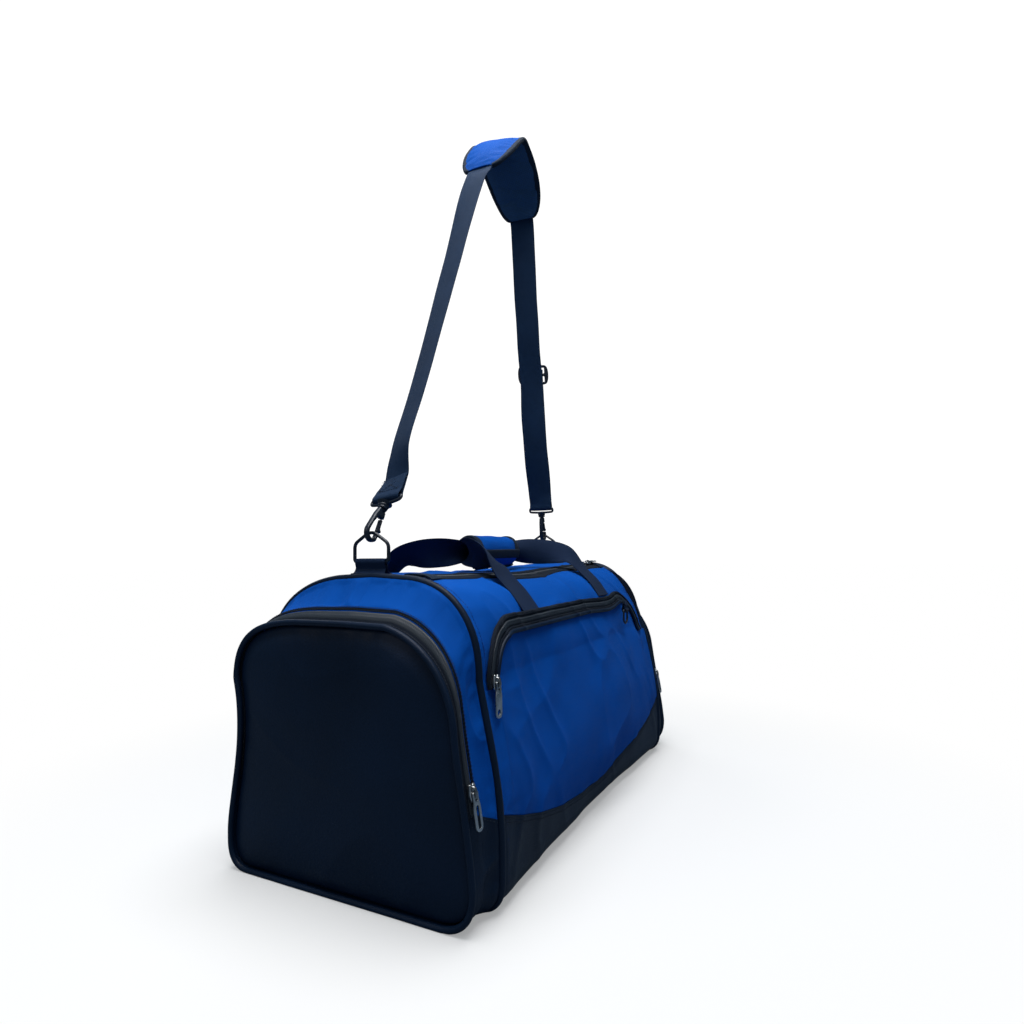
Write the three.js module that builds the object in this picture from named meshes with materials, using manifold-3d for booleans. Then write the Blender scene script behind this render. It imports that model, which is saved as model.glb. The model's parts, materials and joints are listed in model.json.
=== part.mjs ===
// A sports duffel bag, in millimetres. +X runs along the bag, -Y is the side with the long pocket, +Z is up.
// The origin is the middle of the base, on the ground. Sewn panels are thin closed sheets.
import * as THREE from 'three';
import { mergeVertices } from 'three/addons/utils/BufferGeometryUtils.js';
import Module from 'manifold-3d';

const wasm = await Module();
wasm.setup();

// Driving dimensions
const BODY_LENGTH = 520;
const POCKET_DEPTH = 52;
const BODY_TOP = 302;
const POCKET_TOP = 258;
const FABRIC = 2.2;
const GAP = 0.4;
const PIPING_RADIUS = 3.6;
const BOARD_WIDTH = 222;
const BOARD_THICKNESS = 2.5;
const SEAM_END = 86;
const SEAM_MIDDLE = 38;
const GUSSET_SEAM_INNER = 84;
const GUSSET_SEAM_OUTER = 100;
const GUSSET_SPLIT = 0.65;
const GUSSET_COIL = 0.8;
const END_SLIDER_HEIGHT = 112;
const END_SLIDER_TRAVEL = 45;
const GUSSET_GAP = 0.02;
const TOP_ZIP_Y = -45;
const ZIP_WIDTH = 32;
const TOP_ZIP_HALF_LENGTH = 248;
const POCKET_ZIP_TOP = 250;
const POCKET_ZIP_BEND = 55;
const POCKET_ZIP_NEAR = -247;
const POCKET_ZIP_FAR = 234;
const POCKET_ZIP_WIDTH = 24;
const POCKET_BULGE = 9;
const POCKET_CLEAR = 1.2;
const WEBBING = 38;
const WEBBING_THICKNESS = 1.6;
const RING_WIDTH = 48;
const RING_BAR = 3.6;
const RING_DROP = 31;
const NEAR_RING = new THREE.Vector3(-256, 10, 346);
const FAR_RING = new THREE.Vector3(244, 44, 350);
const NEAR_HOOK_LEAN = 38;
const FAR_HOOK_LEAN = -9;
const HANDLE_LEG_NEAR = -140;
const HANDLE_LEG_FAR = 105;
const WRAP_LENGTH = 122;
const WRAP_CENTRE = new THREE.Vector3(-18, 0, 325);
const WRAP_HALF_WIDTH = 17;
const WRAP_HALF_HEIGHT = 18;
const PULL_LENGTH = 32;
const PULL_WIDTH = 11;
const PAD_WIDTH = 84;

const HALF_BODY = BODY_LENGTH / 2;
const PIPING_OFFSET = PIPING_RADIUS + GAP;

// Each side of a cross-section goes from the base round a corner, up a side curve to the shoulder,
// and over a crown curve to the flat top. Points are [distance from the middle, height].
const BODY_SIDES = {
  front: {
    sign: -1, base: 145, corner: 30, side: [[148, 110], [134, 152]], shoulder: [123.5, 205],
    crown: [[125, 256], [97, 296]], flat: [45, BODY_TOP - 2.5], top: BODY_TOP,
  },
  back: {
    sign: 1, base: 150, corner: 30, side: [[150, 95], [142, 145]], shoulder: [142, 205],
    crown: [[144, 256], [112, 292]], flat: [45, BODY_TOP - 2.5], top: BODY_TOP,
  },
};
const POCKET_SIDES = {
  front: {
    sign: -1, base: 141, corner: 38, side: [[138, 80], [128, 125]], shoulder: [124, 165],
    crown: [[121, 215], [88, 248]], flat: [48, POCKET_TOP - 1], top: POCKET_TOP,
  },
  back: {
    sign: 1, base: 155, corner: 30, side: [[157, 70], [131, 128]], shoulder: [149, 195],
    crown: [[149, 237], [125, 256]], flat: [60, POCKET_TOP - 0.5], top: POCKET_TOP,
  },
};

const COLOURS = {
  blue: [0x1b4fa0, 0.85, 0],
  leatherette: [0x0c1a2b, 0.45, 0],
  webbing: [0x17212f, 0.9, 0],
  lining: [0x1a1f28, 0.9, 0],
  board: [0x2a2c30, 0.6, 0],
  zip: [0x10161f, 0.7, 0],
  foam: [0x16273b, 0.95, 0],
  plastic: [0x0d1420, 0.35, 0],
  metal: [0x8a8c8c, 0.35, 1],
};

const bag = new THREE.Group();

function vec(x, y, z) {
  return new THREE.Vector3(x, y, z);
}

function radians(degrees) {
  return THREE.MathUtils.degToRad(degrees);
}

function addPart(parent, name, geometry, look) {
  const [color, roughness, metalness] = COLOURS[look];
  const mesh = new THREE.Mesh(geometry, new THREE.MeshStandardMaterial({ color, roughness, metalness }));
  mesh.name = name;
  parent.add(mesh);
  return mesh;
}

// Mesh building

function signedVolume(points, faces) {
  let sum = 0;
  for (const [a, b, c] of faces) {
    sum += points[a].dot(points[b].clone().cross(points[c]));
  }
  return sum / 6;
}

function closedGeometry(points, faces) {
  const outward = signedVolume(points, faces) > 0;
  const geometry = new THREE.BufferGeometry();
  geometry.setAttribute('position', new THREE.Float32BufferAttribute(points.flatMap((p) => p.toArray()), 3));
  geometry.setIndex(faces.flatMap(([a, b, c]) => (outward ? [a, b, c] : [a, c, b])));
  return geometry;
}

// A thin sheet between two faces, each given as a function of u and v from 0 to 1.
function sheet(outer, inner, columns, rows) {
  const points = [];
  const faces = [];
  const stride = rows + 1;
  const layer = (columns + 1) * stride;
  for (const face of [outer, inner]) {
    for (let i = 0; i <= columns; i++) {
      for (let j = 0; j <= rows; j++) {
        points.push(face(i / columns, j / rows));
      }
    }
  }
  const quad = (a, b, c, d) => faces.push([a, b, c], [a, c, d]);
  for (let i = 0; i < columns; i++) {
    for (let j = 0; j < rows; j++) {
      const a = i * stride + j;
      quad(a, a + stride, a + stride + 1, a + 1);
      quad(layer + a, layer + a + 1, layer + a + stride + 1, layer + a + stride);
    }
  }
  const rim = [];
  for (let i = 0; i < columns; i++) rim.push(i * stride);
  for (let j = 0; j < rows; j++) rim.push(columns * stride + j);
  for (let i = columns; i > 0; i--) rim.push(i * stride + rows);
  for (let j = rows; j > 0; j--) rim.push(j);
  rim.forEach((a, k) => {
    const b = rim[(k + 1) % rim.length];
    quad(a, layer + a, layer + b, b);
  });
  return closedGeometry(points, faces);
}

// Joins equal rings of points into a skin, either capped at both ends or closed into a loop.
function skin(rings, looped) {
  const count = rings[0].length;
  const points = rings.flat();
  const faces = [];
  const spans = looped ? rings.length : rings.length - 1;
  for (let i = 0; i < spans; i++) {
    const here = i * count;
    const next = ((i + 1) % rings.length) * count;
    for (let j = 0; j < count; j++) {
      const k = (j + 1) % count;
      faces.push([here + j, here + k, next + k], [here + j, next + k, next + j]);
    }
  }
  if (!looped) {
    const last = (rings.length - 1) * count;
    for (let j = 1; j < count - 1; j++) {
      faces.push([0, j + 1, j], [last, last + j, last + j + 1]);
    }
  }
  return closedGeometry(points, faces);
}

// A round cord along a closed line of points that lies in a plane across X.
function cord(line, radius, sides) {
  const rings = line.map((point, i) => {
    const before = line[(i + line.length - 1) % line.length];
    const after = line[(i + 1) % line.length];
    const along = after.clone().sub(before).normalize();
    const side = along.clone().cross(vec(1, 0, 0)).normalize();
    return circle(sides).map(([c, s]) => {
      const sideways = point.clone().addScaledVector(side, radius * c);
      return sideways.add(vec(radius * s, 0, 0));
    });
  });
  return skin(rings, true);
}

function circle(sides) {
  const turns = Array.from({ length: sides }, (_, k) => (2 * Math.PI * k) / sides);
  return turns.map((turn) => [Math.cos(turn), Math.sin(turn)]);
}

// A flat band along a smooth line. Each stop is [centre, direction across the band, width].
function band(stops, steps) {
  const line = new THREE.CatmullRomCurve3(stops.map(([centre]) => centre), false, 'centripetal');
  const last = stops.length - 1;
  const rings = [];
  for (let i = 0; i <= steps; i++) {
    const t = i / steps;
    const k = Math.min(Math.floor(t * last), last - 1);
    const f = THREE.MathUtils.smoothstep(t * last - k, 0, 1);
    const tangent = line.getTangent(t);
    const across = stops[k][1].clone().lerp(stops[k + 1][1], f);
    across.addScaledVector(tangent, -across.dot(tangent)).normalize();
    const normal = tangent.clone().cross(across);
    const half = THREE.MathUtils.lerp(stops[k][2], stops[k + 1][2], f) / 2;
    const thick = WEBBING_THICKNESS / 2;
    rings.push([[half, thick], [-half, thick], [-half, -thick], [half, -thick]].map(([w, h]) =>
      line.getPoint(t).addScaledVector(across, w).addScaledVector(normal, h)));
  }
  return skin(rings, false);
}

function extruded(shape, depth, curveSegments = 6) {
  const geometry = new THREE.ExtrudeGeometry(shape, { depth, bevelEnabled: false, curveSegments });
  return geometry.translate(0, 0, -depth / 2);
}

function toManifold(geometry) {
  const bare = geometry.clone();
  bare.deleteAttribute('normal');
  bare.deleteAttribute('uv');
  const merged = mergeVertices(bare, 1e-4);
  return new wasm.Manifold(new wasm.Mesh({
    numProp: 3,
    vertProperties: merged.attributes.position.array,
    triVerts: new Uint32Array(merged.index.array),
  }));
}

function fromManifold(solid) {
  const { vertProperties, triVerts } = solid.getMesh();
  const geometry = new THREE.BufferGeometry();
  geometry.setAttribute('position', new THREE.BufferAttribute(vertProperties, 3));
  geometry.setIndex(new THREE.BufferAttribute(triVerts, 1));
  return geometry;
}

function joined(...geometries) {
  return fromManifold(geometries.map(toManifold).reduce((whole, piece) => whole.add(piece)));
}

function cut(geometry, ...tools) {
  const whole = toManifold(geometry);
  return fromManifold(tools.map(toManifold).reduce((left, tool) => left.subtract(tool), whole));
}

function block(x, y, z, cx = 0, cy = 0, cz = 0) {
  return new THREE.BoxGeometry(x, y, z).translate(cx, cy, cz);
}

// The bag's cross-section

// Half an outline across the bag, from the middle of the base, up one side, to the middle of the top.
function halfOutline({ sign, base, corner, side, shoulder, crown, flat, top }) {
  const path = new THREE.Path();
  const curveTo = (...points) => path.bezierCurveTo(...points.flatMap(([y, z]) => [sign * y, z]));
  path.moveTo(0, 0);
  path.lineTo(sign * (base - corner), 0);
  path.quadraticCurveTo(sign * base, 0, sign * base, corner);
  curveTo(...side, shoulder);
  curveTo(...crown, flat);
  path.lineTo(0, top);
  return path;
}

function outlineOf(sides) {
  const front = halfOutline(sides.front);
  const back = halfOutline(sides.back);
  // w runs from -1, the top, down the front to 0 at the base and up the back to 1.
  // Past 1 it comes down the front again.
  return (w, lift = 0) => {
    const path = w < 0 || w > 1 ? front : back;
    const s = THREE.MathUtils.clamp(w > 1 ? 2 - w : Math.abs(w), 0, 1);
    const point = path.getPointAt(s);
    const tangent = path.getTangentAt(THREE.MathUtils.clamp(s, 0.0001, 0.9999));
    const sign = path === front ? -1 : 1;
    return new THREE.Vector2(point.x + sign * lift * tangent.y, point.y - sign * lift * tangent.x);
  };
}

const bodyOutline = outlineOf(BODY_SIDES);
const pocketOutline = outlineOf(POCKET_SIDES);

// The place along an outline where a test first turns false.
function firstPlace(outline, from, to, test) {
  let low = from;
  let high = to;
  for (let i = 0; i < 30; i++) {
    const middle = (low + high) / 2;
    if (test(outline(middle))) low = middle;
    else high = middle;
  }
  return low;
}

function frontAtHeight(z, outline = bodyOutline) {
  return firstPlace(outline, -0.3, -1, (point) => point.y < z);
}

function backAtHeight(z, outline = bodyOutline) {
  return firstPlace(outline, 0.3, 1, (point) => point.y < z);
}

function frontTopAt(y) {
  return firstPlace(bodyOutline, -0.72, -1, (point) => point.x < y);
}

function bodyPoint(x, w, lift) {
  const point = bodyOutline(w, lift);
  return vec(x, point.x, point.y);
}

function frontPoint(x, z, lift) {
  return bodyPoint(x, frontAtHeight(z), lift);
}

function seamHeight(x) {
  return SEAM_MIDDLE + (SEAM_END - SEAM_MIDDLE) * (x / HALF_BODY) ** 2;
}

// Main compartment

function wrappedPanel(edgeA, edgeB, columns, rows, halfLength = HALF_BODY) {
  const face = (lift) => (u, v) => {
    const x = THREE.MathUtils.lerp(-halfLength, halfLength, u);
    return bodyPoint(x, THREE.MathUtils.lerp(edgeA(x), edgeB(x), v), lift);
  };
  return sheet(face(0), face(-FABRIC), columns, rows);
}

function endWall(x) {
  const inset = -(FABRIC + 2);
  const rim = [];
  for (let i = 0; i < 40; i++) {
    const point = bodyOutline(-1 + i / 20, inset);
    rim.push(vec(x, point.x, point.y));
  }
  return skin([rim, rim.map((p) => p.clone().add(vec(FABRIC, 0, 0)))], false);
}

function ringLine(outline, x, lift, count) {
  return Array.from({ length: count }, (_, i) => {
    const point = outline(-1 + (2 * i) / count, lift);
    return vec(x, point.x, point.y);
  });
}

function addMainCompartment() {
  const slack = 0.004;
  const zipFront = frontTopAt(TOP_ZIP_Y - ZIP_WIDTH / 2);
  const zipMiddle = frontTopAt(TOP_ZIP_Y);
  const zipBack = frontTopAt(TOP_ZIP_Y + ZIP_WIDTH / 2);
  const seamFront = (x) => frontAtHeight(seamHeight(x));
  const seamBack = (x) => backAtHeight(seamHeight(x));
  addPart(bag, 'base_panel', wrappedPanel(seamFront, seamBack, 8, 26), 'leatherette');
  const front = wrappedPanel((x) => seamFront(x) - slack, () => zipFront + slack, 8, 14);
  const back = wrappedPanel((x) => seamBack(x) + slack, () => 2 + zipBack - slack, 8, 16);
  addPart(bag, 'front_panel', front, 'blue');
  addPart(bag, 'back_panel', back, 'blue');
  const half = TOP_ZIP_HALF_LENGTH;
  const slit = 0.0012;
  addPart(bag, 'top_zip_tape_front', wrappedPanel(() => zipFront, () => zipMiddle + slit, 1, 1, half), 'zip');
  addPart(bag, 'top_zip_tape_back', wrappedPanel(() => zipMiddle - slit, () => zipBack, 1, 1, half), 'zip');
  addPart(bag, 'near_end_wall', endWall(-HALF_BODY), 'lining');
  addPart(bag, 'far_end_wall', endWall(HALF_BODY - FABRIC), 'lining');
  const boardZ = FABRIC + 2 * GAP + BOARD_THICKNESS / 2;
  const board = block(BODY_LENGTH - 24, BOARD_WIDTH, BOARD_THICKNESS, 0, 2, boardZ);
  addPart(bag, 'base_board', board, 'board');
  for (const [name, end] of [['near', -1], ['far', 1]]) {
    const line = ringLine(bodyOutline, end * (HALF_BODY + PIPING_OFFSET), -PIPING_RADIUS, 44);
    addPart(bag, `${name}_piping`, cord(line, PIPING_RADIUS, 6), 'leatherette');
  }
}

// End pockets: a gusset tapers from the body's outline to the smaller end panel.

const GUSSET_START = HALF_BODY + 2 * PIPING_OFFSET;
const GUSSET_END = HALF_BODY + POCKET_DEPTH - 2 * PIPING_OFFSET;

function gussetPoint(end, t, w, lift) {
  const inner = bodyOutline(w, lift - 2);
  const outer = pocketOutline(w, lift - 2);
  const point = inner.lerp(outer, t);
  return vec(end * THREE.MathUtils.lerp(GUSSET_START, GUSSET_END, t), point.x, point.y);
}

// Where the gusset's seam is, front and back, at a share t of the way out.
function gussetSeam(atHeight, t) {
  const inner = atHeight(GUSSET_SEAM_INNER, bodyOutline);
  const outer = atHeight(GUSSET_SEAM_OUTER, pocketOutline);
  return THREE.MathUtils.lerp(inner, outer, t);
}

// A strip of the gusset from t0 to t1. It runs between two places that depend on t.
function gussetStrip(end, t0, t1, from, to, rows) {
  const face = (lift) => (u, v) => {
    const t = THREE.MathUtils.lerp(t0, t1, u);
    return gussetPoint(end, t, THREE.MathUtils.lerp(from(t), to(t), v), lift);
  };
  return sheet(face(0), face(-FABRIC), 1, rows);
}

function addEndPocket(name, end) {
  const slack = 0.003;
  const front = (t) => gussetSeam(frontAtHeight, t);
  const back = (t) => gussetSeam(backAtHeight, t);
  const aboveBack = (t) => back(t) + slack;
  const overTop = (t) => 2 + front(t) - slack;
  const edge = GUSSET_SPLIT + GUSSET_GAP;
  addPart(bag, `${name}_pocket_base`, gussetStrip(end, 0, 1, front, back, 26), 'leatherette');
  addPart(bag, `${name}_pocket_gusset`, gussetStrip(end, 0, GUSSET_SPLIT, aboveBack, overTop, 30), 'blue');
  addPart(bag, `${name}_pocket_zip`, gussetStrip(end, edge, 1, aboveBack, overTop, 30), 'zip');
  const pipingX = end * (HALF_BODY + POCKET_DEPTH - PIPING_OFFSET);
  const line = ringLine(pocketOutline, pipingX, -PIPING_RADIUS, 44);
  addPart(bag, `${name}_pocket_piping`, cord(line, PIPING_RADIUS, 6), 'leatherette');
  const outside = end * (HALF_BODY + POCKET_DEPTH);
  const rim = ringLine(pocketOutline, outside, -2 * PIPING_OFFSET + 1, 44);
  const panel = skin([rim, rim.map((p) => p.clone().sub(vec(end * FABRIC, 0, 0)))], false);
  addPart(bag, `${name}_pocket_panel`, panel, 'leatherette');
}

// Long pocket on the front side

const BEND_NEAR = POCKET_ZIP_NEAR + POCKET_ZIP_BEND;
const BEND_FAR = POCKET_ZIP_FAR - POCKET_ZIP_BEND;
const BEND_Z = POCKET_ZIP_TOP - POCKET_ZIP_BEND;

// The zip's line: up and round the near bend, along the top, round the far bend. r is 0 on its middle.
function pocketZipPlace(t, r) {
  const radius = POCKET_ZIP_BEND + r;
  if (t < 0.25) {
    const turn = radians(180 - 360 * t);
    return [BEND_NEAR + radius * Math.cos(turn), BEND_Z + radius * Math.sin(turn)];
  }
  if (t > 0.75) {
    const turn = radians(90 - 360 * (t - 0.75));
    return [BEND_FAR + radius * Math.cos(turn), BEND_Z + radius * Math.sin(turn)];
  }
  return [THREE.MathUtils.lerp(BEND_NEAR, BEND_FAR, (t - 0.25) * 2), BEND_Z + radius];
}

function pocketZip() {
  const face = (lift) => (u, v) => {
    const [x, z] = pocketZipPlace(u, (v - 0.5) * POCKET_ZIP_WIDTH);
    return frontPoint(x, z, lift);
  };
  return sheet(face(POCKET_CLEAR + FABRIC), face(POCKET_CLEAR), 24, 2);
}

function pocketTopEdge(x) {
  const radius = POCKET_ZIP_BEND - POCKET_ZIP_WIDTH / 2 - GAP;
  const past = Math.max(BEND_NEAR - x, x - BEND_FAR, 0);
  if (past >= radius) {
    return BEND_Z - GAP;
  }
  return Math.max(BEND_Z + Math.sqrt(radius ** 2 - past ** 2), BEND_Z - GAP);
}

function pocketStations() {
  const radius = POCKET_ZIP_BEND - POCKET_ZIP_WIDTH / 2 - GAP;
  const bend = [1, 0.97, 0.85, 0.6, 0.3];
  const near = bend.map((share) => BEND_NEAR - share * radius);
  const far = bend.map((share) => BEND_FAR + share * radius).reverse();
  const middle = [-160, -105, -50, 5, 60, 115, 160];
  return [-HALF_BODY + 1, -HALF_BODY + 11, ...near, ...middle, ...far, HALF_BODY - 11, HALF_BODY - 1];
}

function pocketPanel() {
  const stations = pocketStations();
  const last = stations.length - 1;
  const face = (lift) => (u, v) => {
    const x = stations[Math.round(u * last)];
    const bottom = frontAtHeight(seamHeight(x) + 4);
    const w = THREE.MathUtils.lerp(bottom, frontAtHeight(pocketTopEdge(x)), v);
    const bulge = POCKET_BULGE * Math.sin(Math.PI * v) * Math.cos((Math.PI * x) / BODY_LENGTH);
    return bodyPoint(x, w, lift + bulge);
  };
  return sheet(face(POCKET_CLEAR + FABRIC), face(POCKET_CLEAR), last, 8);
}

function addFrontPocket() {
  addPart(bag, 'front_pocket_panel', pocketPanel(), 'blue');
  addPart(bag, 'front_pocket_zip', pocketZip(), 'zip');
}

// Zip sliders. Local +X is the way the slider travels to open, +Z points out of the bag.

const SLIDER_LENGTH = 15;
const SLIDER_WIDTH = 11;
const SLIDER_LIFT = 0.8;
const SLIDER_HEIGHT = 3;
const CROWN_CLEAR = 2.6;
const PULL_THICKNESS = 1.6;
const PULL_AXIS = SLIDER_LIFT + SLIDER_HEIGHT + CROWN_CLEAR / 2;

function sliderGeometry() {
  const plan = new THREE.Shape();
  plan.moveTo(-SLIDER_LENGTH / 2, -3);
  plan.quadraticCurveTo(-SLIDER_LENGTH / 2, -SLIDER_WIDTH / 2, 0, -SLIDER_WIDTH / 2);
  plan.quadraticCurveTo(SLIDER_LENGTH / 2, -SLIDER_WIDTH / 2, SLIDER_LENGTH / 2, -2);
  plan.lineTo(SLIDER_LENGTH / 2, 2);
  plan.quadraticCurveTo(SLIDER_LENGTH / 2, SLIDER_WIDTH / 2, 0, SLIDER_WIDTH / 2);
  plan.quadraticCurveTo(-SLIDER_LENGTH / 2, SLIDER_WIDTH / 2, -SLIDER_LENGTH / 2, 3);
  plan.closePath();
  const plate = extruded(plan, SLIDER_HEIGHT, 3).translate(0, 0, SLIDER_LIFT + SLIDER_HEIGHT / 2);
  const top = SLIDER_LIFT + SLIDER_HEIGHT;
  const crown = new THREE.Shape();
  crown.moveTo(-5.2, 0);
  crown.lineTo(5.2, 0);
  crown.lineTo(5.2, CROWN_CLEAR);
  crown.lineTo(4, CROWN_CLEAR + 1.2);
  crown.lineTo(-4, CROWN_CLEAR + 1.2);
  crown.lineTo(-5.2, CROWN_CLEAR);
  crown.closePath();
  const arch = extruded(crown, 3).rotateX(Math.PI / 2).translate(0, 0, top - 0.2);
  const under = block(8, 6, CROWN_CLEAR, 0, 0, top + CROWN_CLEAR / 2);
  return cut(joined(plate, arch), under);
}

// The pull tab lies towards -X, with its pin under the crown. Its outer end has a frame or a round hole.
function pullGeometry(framed) {
  const half = PULL_WIDTH / 2;
  const tab = new THREE.Shape();
  tab.moveTo(0.8, -half);
  tab.lineTo(-PULL_LENGTH + 4, -half);
  tab.quadraticCurveTo(-PULL_LENGTH, -half, -PULL_LENGTH, 0);
  tab.quadraticCurveTo(-PULL_LENGTH, half, -PULL_LENGTH + 4, half);
  tab.lineTo(0.8, half);
  tab.closePath();
  const eye = new THREE.Path();
  eye.moveTo(-0.8, -2.4);
  eye.lineTo(-0.8, 2.4);
  eye.lineTo(-7, 2.4);
  eye.lineTo(-7, -2.4);
  eye.closePath();
  const middle = framed ? -PULL_LENGTH / 2 - 2.5 : -PULL_LENGTH + 6;
  const reach = framed ? 8.5 : 2.1;
  const grip = new THREE.Path(circle(12).map(([c, s]) => new THREE.Vector2(middle + reach * c, 2.1 * s)));
  tab.holes.push(eye, grip);
  return extruded(tab, PULL_THICKNESS, 3).translate(0, 0, PULL_AXIS);
}

function addSlider(name, place, travel, outward, framed) {
  const across = outward.clone().cross(travel).normalize();
  const along = across.clone().cross(outward).normalize();
  const group = new THREE.Group();
  group.applyMatrix4(new THREE.Matrix4().makeBasis(along, across, outward).setPosition(place));
  addPart(group, `${name}_slider`, sliderGeometry(), 'metal');
  addPart(group, `${name}_pull`, pullGeometry(framed), 'metal');
  bag.add(group);
}

// Place, direction of travel and outward direction on a line of points lifted off the cloth.
function slideFrame(pointAt, from, to) {
  const start = pointAt(from, 0);
  const travel = pointAt(to, 0).sub(start).normalize();
  const lifted = pointAt(from, 1).sub(start);
  const outward = lifted.addScaledVector(travel, -lifted.dot(travel)).normalize();
  return [start, travel, outward];
}

function addSliders() {
  const zipMiddle = frontTopAt(TOP_ZIP_Y);
  addSlider('top', ...slideFrame((x, lift) => bodyPoint(x, zipMiddle, lift), 222, 0), false);
  const onPocketZip = (t, lift) => {
    const [x, z] = pocketZipPlace(t, 0);
    return frontPoint(x, z, lift + POCKET_CLEAR + FABRIC + 2 * GAP);
  };
  addSlider('front_pocket', ...slideFrame(onPocketZip, 0.012, 0.03), false);
  for (const [name, end] of [['near', -1], ['far', 1]]) {
    const coil = (z, lift) => gussetPoint(end, GUSSET_COIL, frontAtHeight(z, pocketOutline), lift + 2 * GAP);
    const [low, high] = [END_SLIDER_HEIGHT, END_SLIDER_HEIGHT + END_SLIDER_TRAVEL];
    addSlider(`${name}_pocket`, ...slideFrame(coil, low, high), true);
  }
}

// Hexagonal strap rings in their webbing tabs

// The inner or outer edge of a ring with its corner at the top.
// Local x is across, y is up, and 0 is the middle of the crown bar.
function ringEdge(path, grow) {
  const half = RING_WIDTH / 2 - RING_BAR / 2 + grow;
  const bottom = -RING_DROP - grow;
  const corner = 3 + 0.9 * grow;
  const shoulder = -12 + grow * 0.4;
  path.moveTo(-half + corner, bottom);
  path.lineTo(half - corner, bottom);
  path.quadraticCurveTo(half, bottom, half, bottom + corner);
  path.lineTo(half, shoulder);
  path.lineTo(7, -2.2 + grow);
  path.quadraticCurveTo(0, grow + 0.6, -7, -2.2 + grow);
  path.lineTo(-half, shoulder);
  path.lineTo(-half, bottom + corner);
  path.quadraticCurveTo(-half, bottom, -half + corner, bottom);
  return path;
}

function ringGeometry() {
  const shape = ringEdge(new THREE.Shape(), RING_BAR / 2);
  shape.holes.push(ringEdge(new THREE.Path(), -RING_BAR / 2));
  return extruded(shape, RING_BAR, 4).rotateX(Math.PI / 2).rotateZ(Math.PI / 2);
}

// A folded tab seen from its edge: two layers that part round the ring's lower bar.
function tabGeometry(height) {
  const thick = WEBBING_THICKNESS;
  const outer = RING_BAR / 2 + 1.2 + thick;
  const shape = new THREE.Shape();
  shape.moveTo(-thick - 0.1, -height);
  shape.lineTo(thick + 0.1, -height);
  shape.lineTo(outer, -1.5);
  shape.absarc(0, 0, outer, 0, Math.PI, false);
  shape.lineTo(-outer, -1.5);
  shape.closePath();
  const hole = new THREE.Path();
  const inner = outer - thick;
  hole.moveTo(-inner, -2);
  hole.absarc(0, 0, inner, Math.PI, 0, true);
  hole.lineTo(inner, -2);
  hole.lineTo(0.4, -5.4);
  hole.lineTo(-0.4, -5.2);
  hole.closePath();
  shape.holes.push(hole);
  return extruded(shape, WEBBING - 2).rotateX(Math.PI / 2);
}

function addRing(name, crown) {
  const bar = crown.clone().sub(vec(0, 0, RING_DROP));
  const ring = addPart(bag, `${name}_ring`, ringGeometry(), 'plastic');
  ring.position.copy(crown);
  const reach = bar.z - BODY_TOP - GAP;
  const tab = addPart(bag, `${name}_ring_tab`, tabGeometry(reach), 'webbing');
  tab.position.copy(bar);
}

// Carrying handles and their wrap

const LEG_HEIGHTS = [266, 277, 290];
const ARCH_HEIGHT = 320;
const NECK_HEIGHT = 325;
const FOLDED_WIDTH = 25;
const GRIP_Y = 5;
const GRIP_HALF_LENGTH = 52;

function handleStops(side) {
  const lift = GAP + WEBBING_THICKNESS / 2;
  const edge = vec(0, side * 0.35, -0.93);
  const upright = vec(0, side * 0.05, -1);
  const leg = (x, across) =>
    LEG_HEIGHTS.map((z, k) => {
      const w = side < 0 ? frontAtHeight(z) : backAtHeight(z);
      return [bodyPoint(x, w, k === 2 ? lift + 5 : lift), across, WEBBING];
    });
  const grip = (x, y) => [vec(WRAP_CENTRE.x + x, side * y, WRAP_CENTRE.z), upright, FOLDED_WIDTH];
  const near = [
    ...leg(HANDLE_LEG_NEAR, vec(1, 0, 0)),
    [vec(-132, side * 62, ARCH_HEIGHT), vec(0.6, side * 0.35, -0.7), WEBBING],
    [vec(-113, side * 26, NECK_HEIGHT), edge, WEBBING - 5],
    grip(-GRIP_HALF_LENGTH - 16, GRIP_Y + 2),
    grip(-GRIP_HALF_LENGTH, GRIP_Y),
  ];
  const far = [
    grip(GRIP_HALF_LENGTH, GRIP_Y),
    grip(GRIP_HALF_LENGTH + 16, GRIP_Y + 2),
    [vec(78, side * 25, NECK_HEIGHT), edge, WEBBING - 5],
    [vec(99, side * 60, ARCH_HEIGHT), vec(-0.6, side * 0.35, -0.7), WEBBING],
    ...leg(HANDLE_LEG_FAR, vec(-1, 0, 0)).reverse(),
  ];
  return [...near, ...far];
}

function wrapPoint(turn, x, lift) {
  const y = (WRAP_HALF_WIDTH + lift) * Math.cos(turn);
  const z = (WRAP_HALF_HEIGHT + lift) * Math.sin(turn);
  return WRAP_CENTRE.clone().add(vec(x, y, z));
}

function wrapArc(fromDegrees, toDegrees, length, outside, thickness, rows) {
  const face = (lift) => (u, v) =>
    wrapPoint(radians(THREE.MathUtils.lerp(fromDegrees, toDegrees, v)), (u - 0.5) * length, lift);
  return sheet(face(outside), face(outside - thickness), 1, rows);
}

function addHandles() {
  addPart(bag, 'front_handle_webbing', band(handleStops(-1), 44), 'webbing');
  addPart(bag, 'back_handle_webbing', band(handleStops(1), 44), 'webbing');
  addPart(bag, 'handle_wrap', wrapArc(-105, 215, WRAP_LENGTH, 0, 3, 16), 'blue');
  addPart(bag, 'handle_wrap_flap', wrapArc(190, 250, WRAP_LENGTH - 8, 2.4, 1.8, 5), 'blue');
}

// Shoulder strap. Its own group has local +X from the near ring's crown to the far one's.

const strapLine = FAR_RING.clone().sub(NEAR_RING);
const STRAP_SPAN = strapLine.length();
const HOOK_HALF = 2.2;
const HOOK_EYE = 47;
const LOOP_BAR = 3.4;

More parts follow.
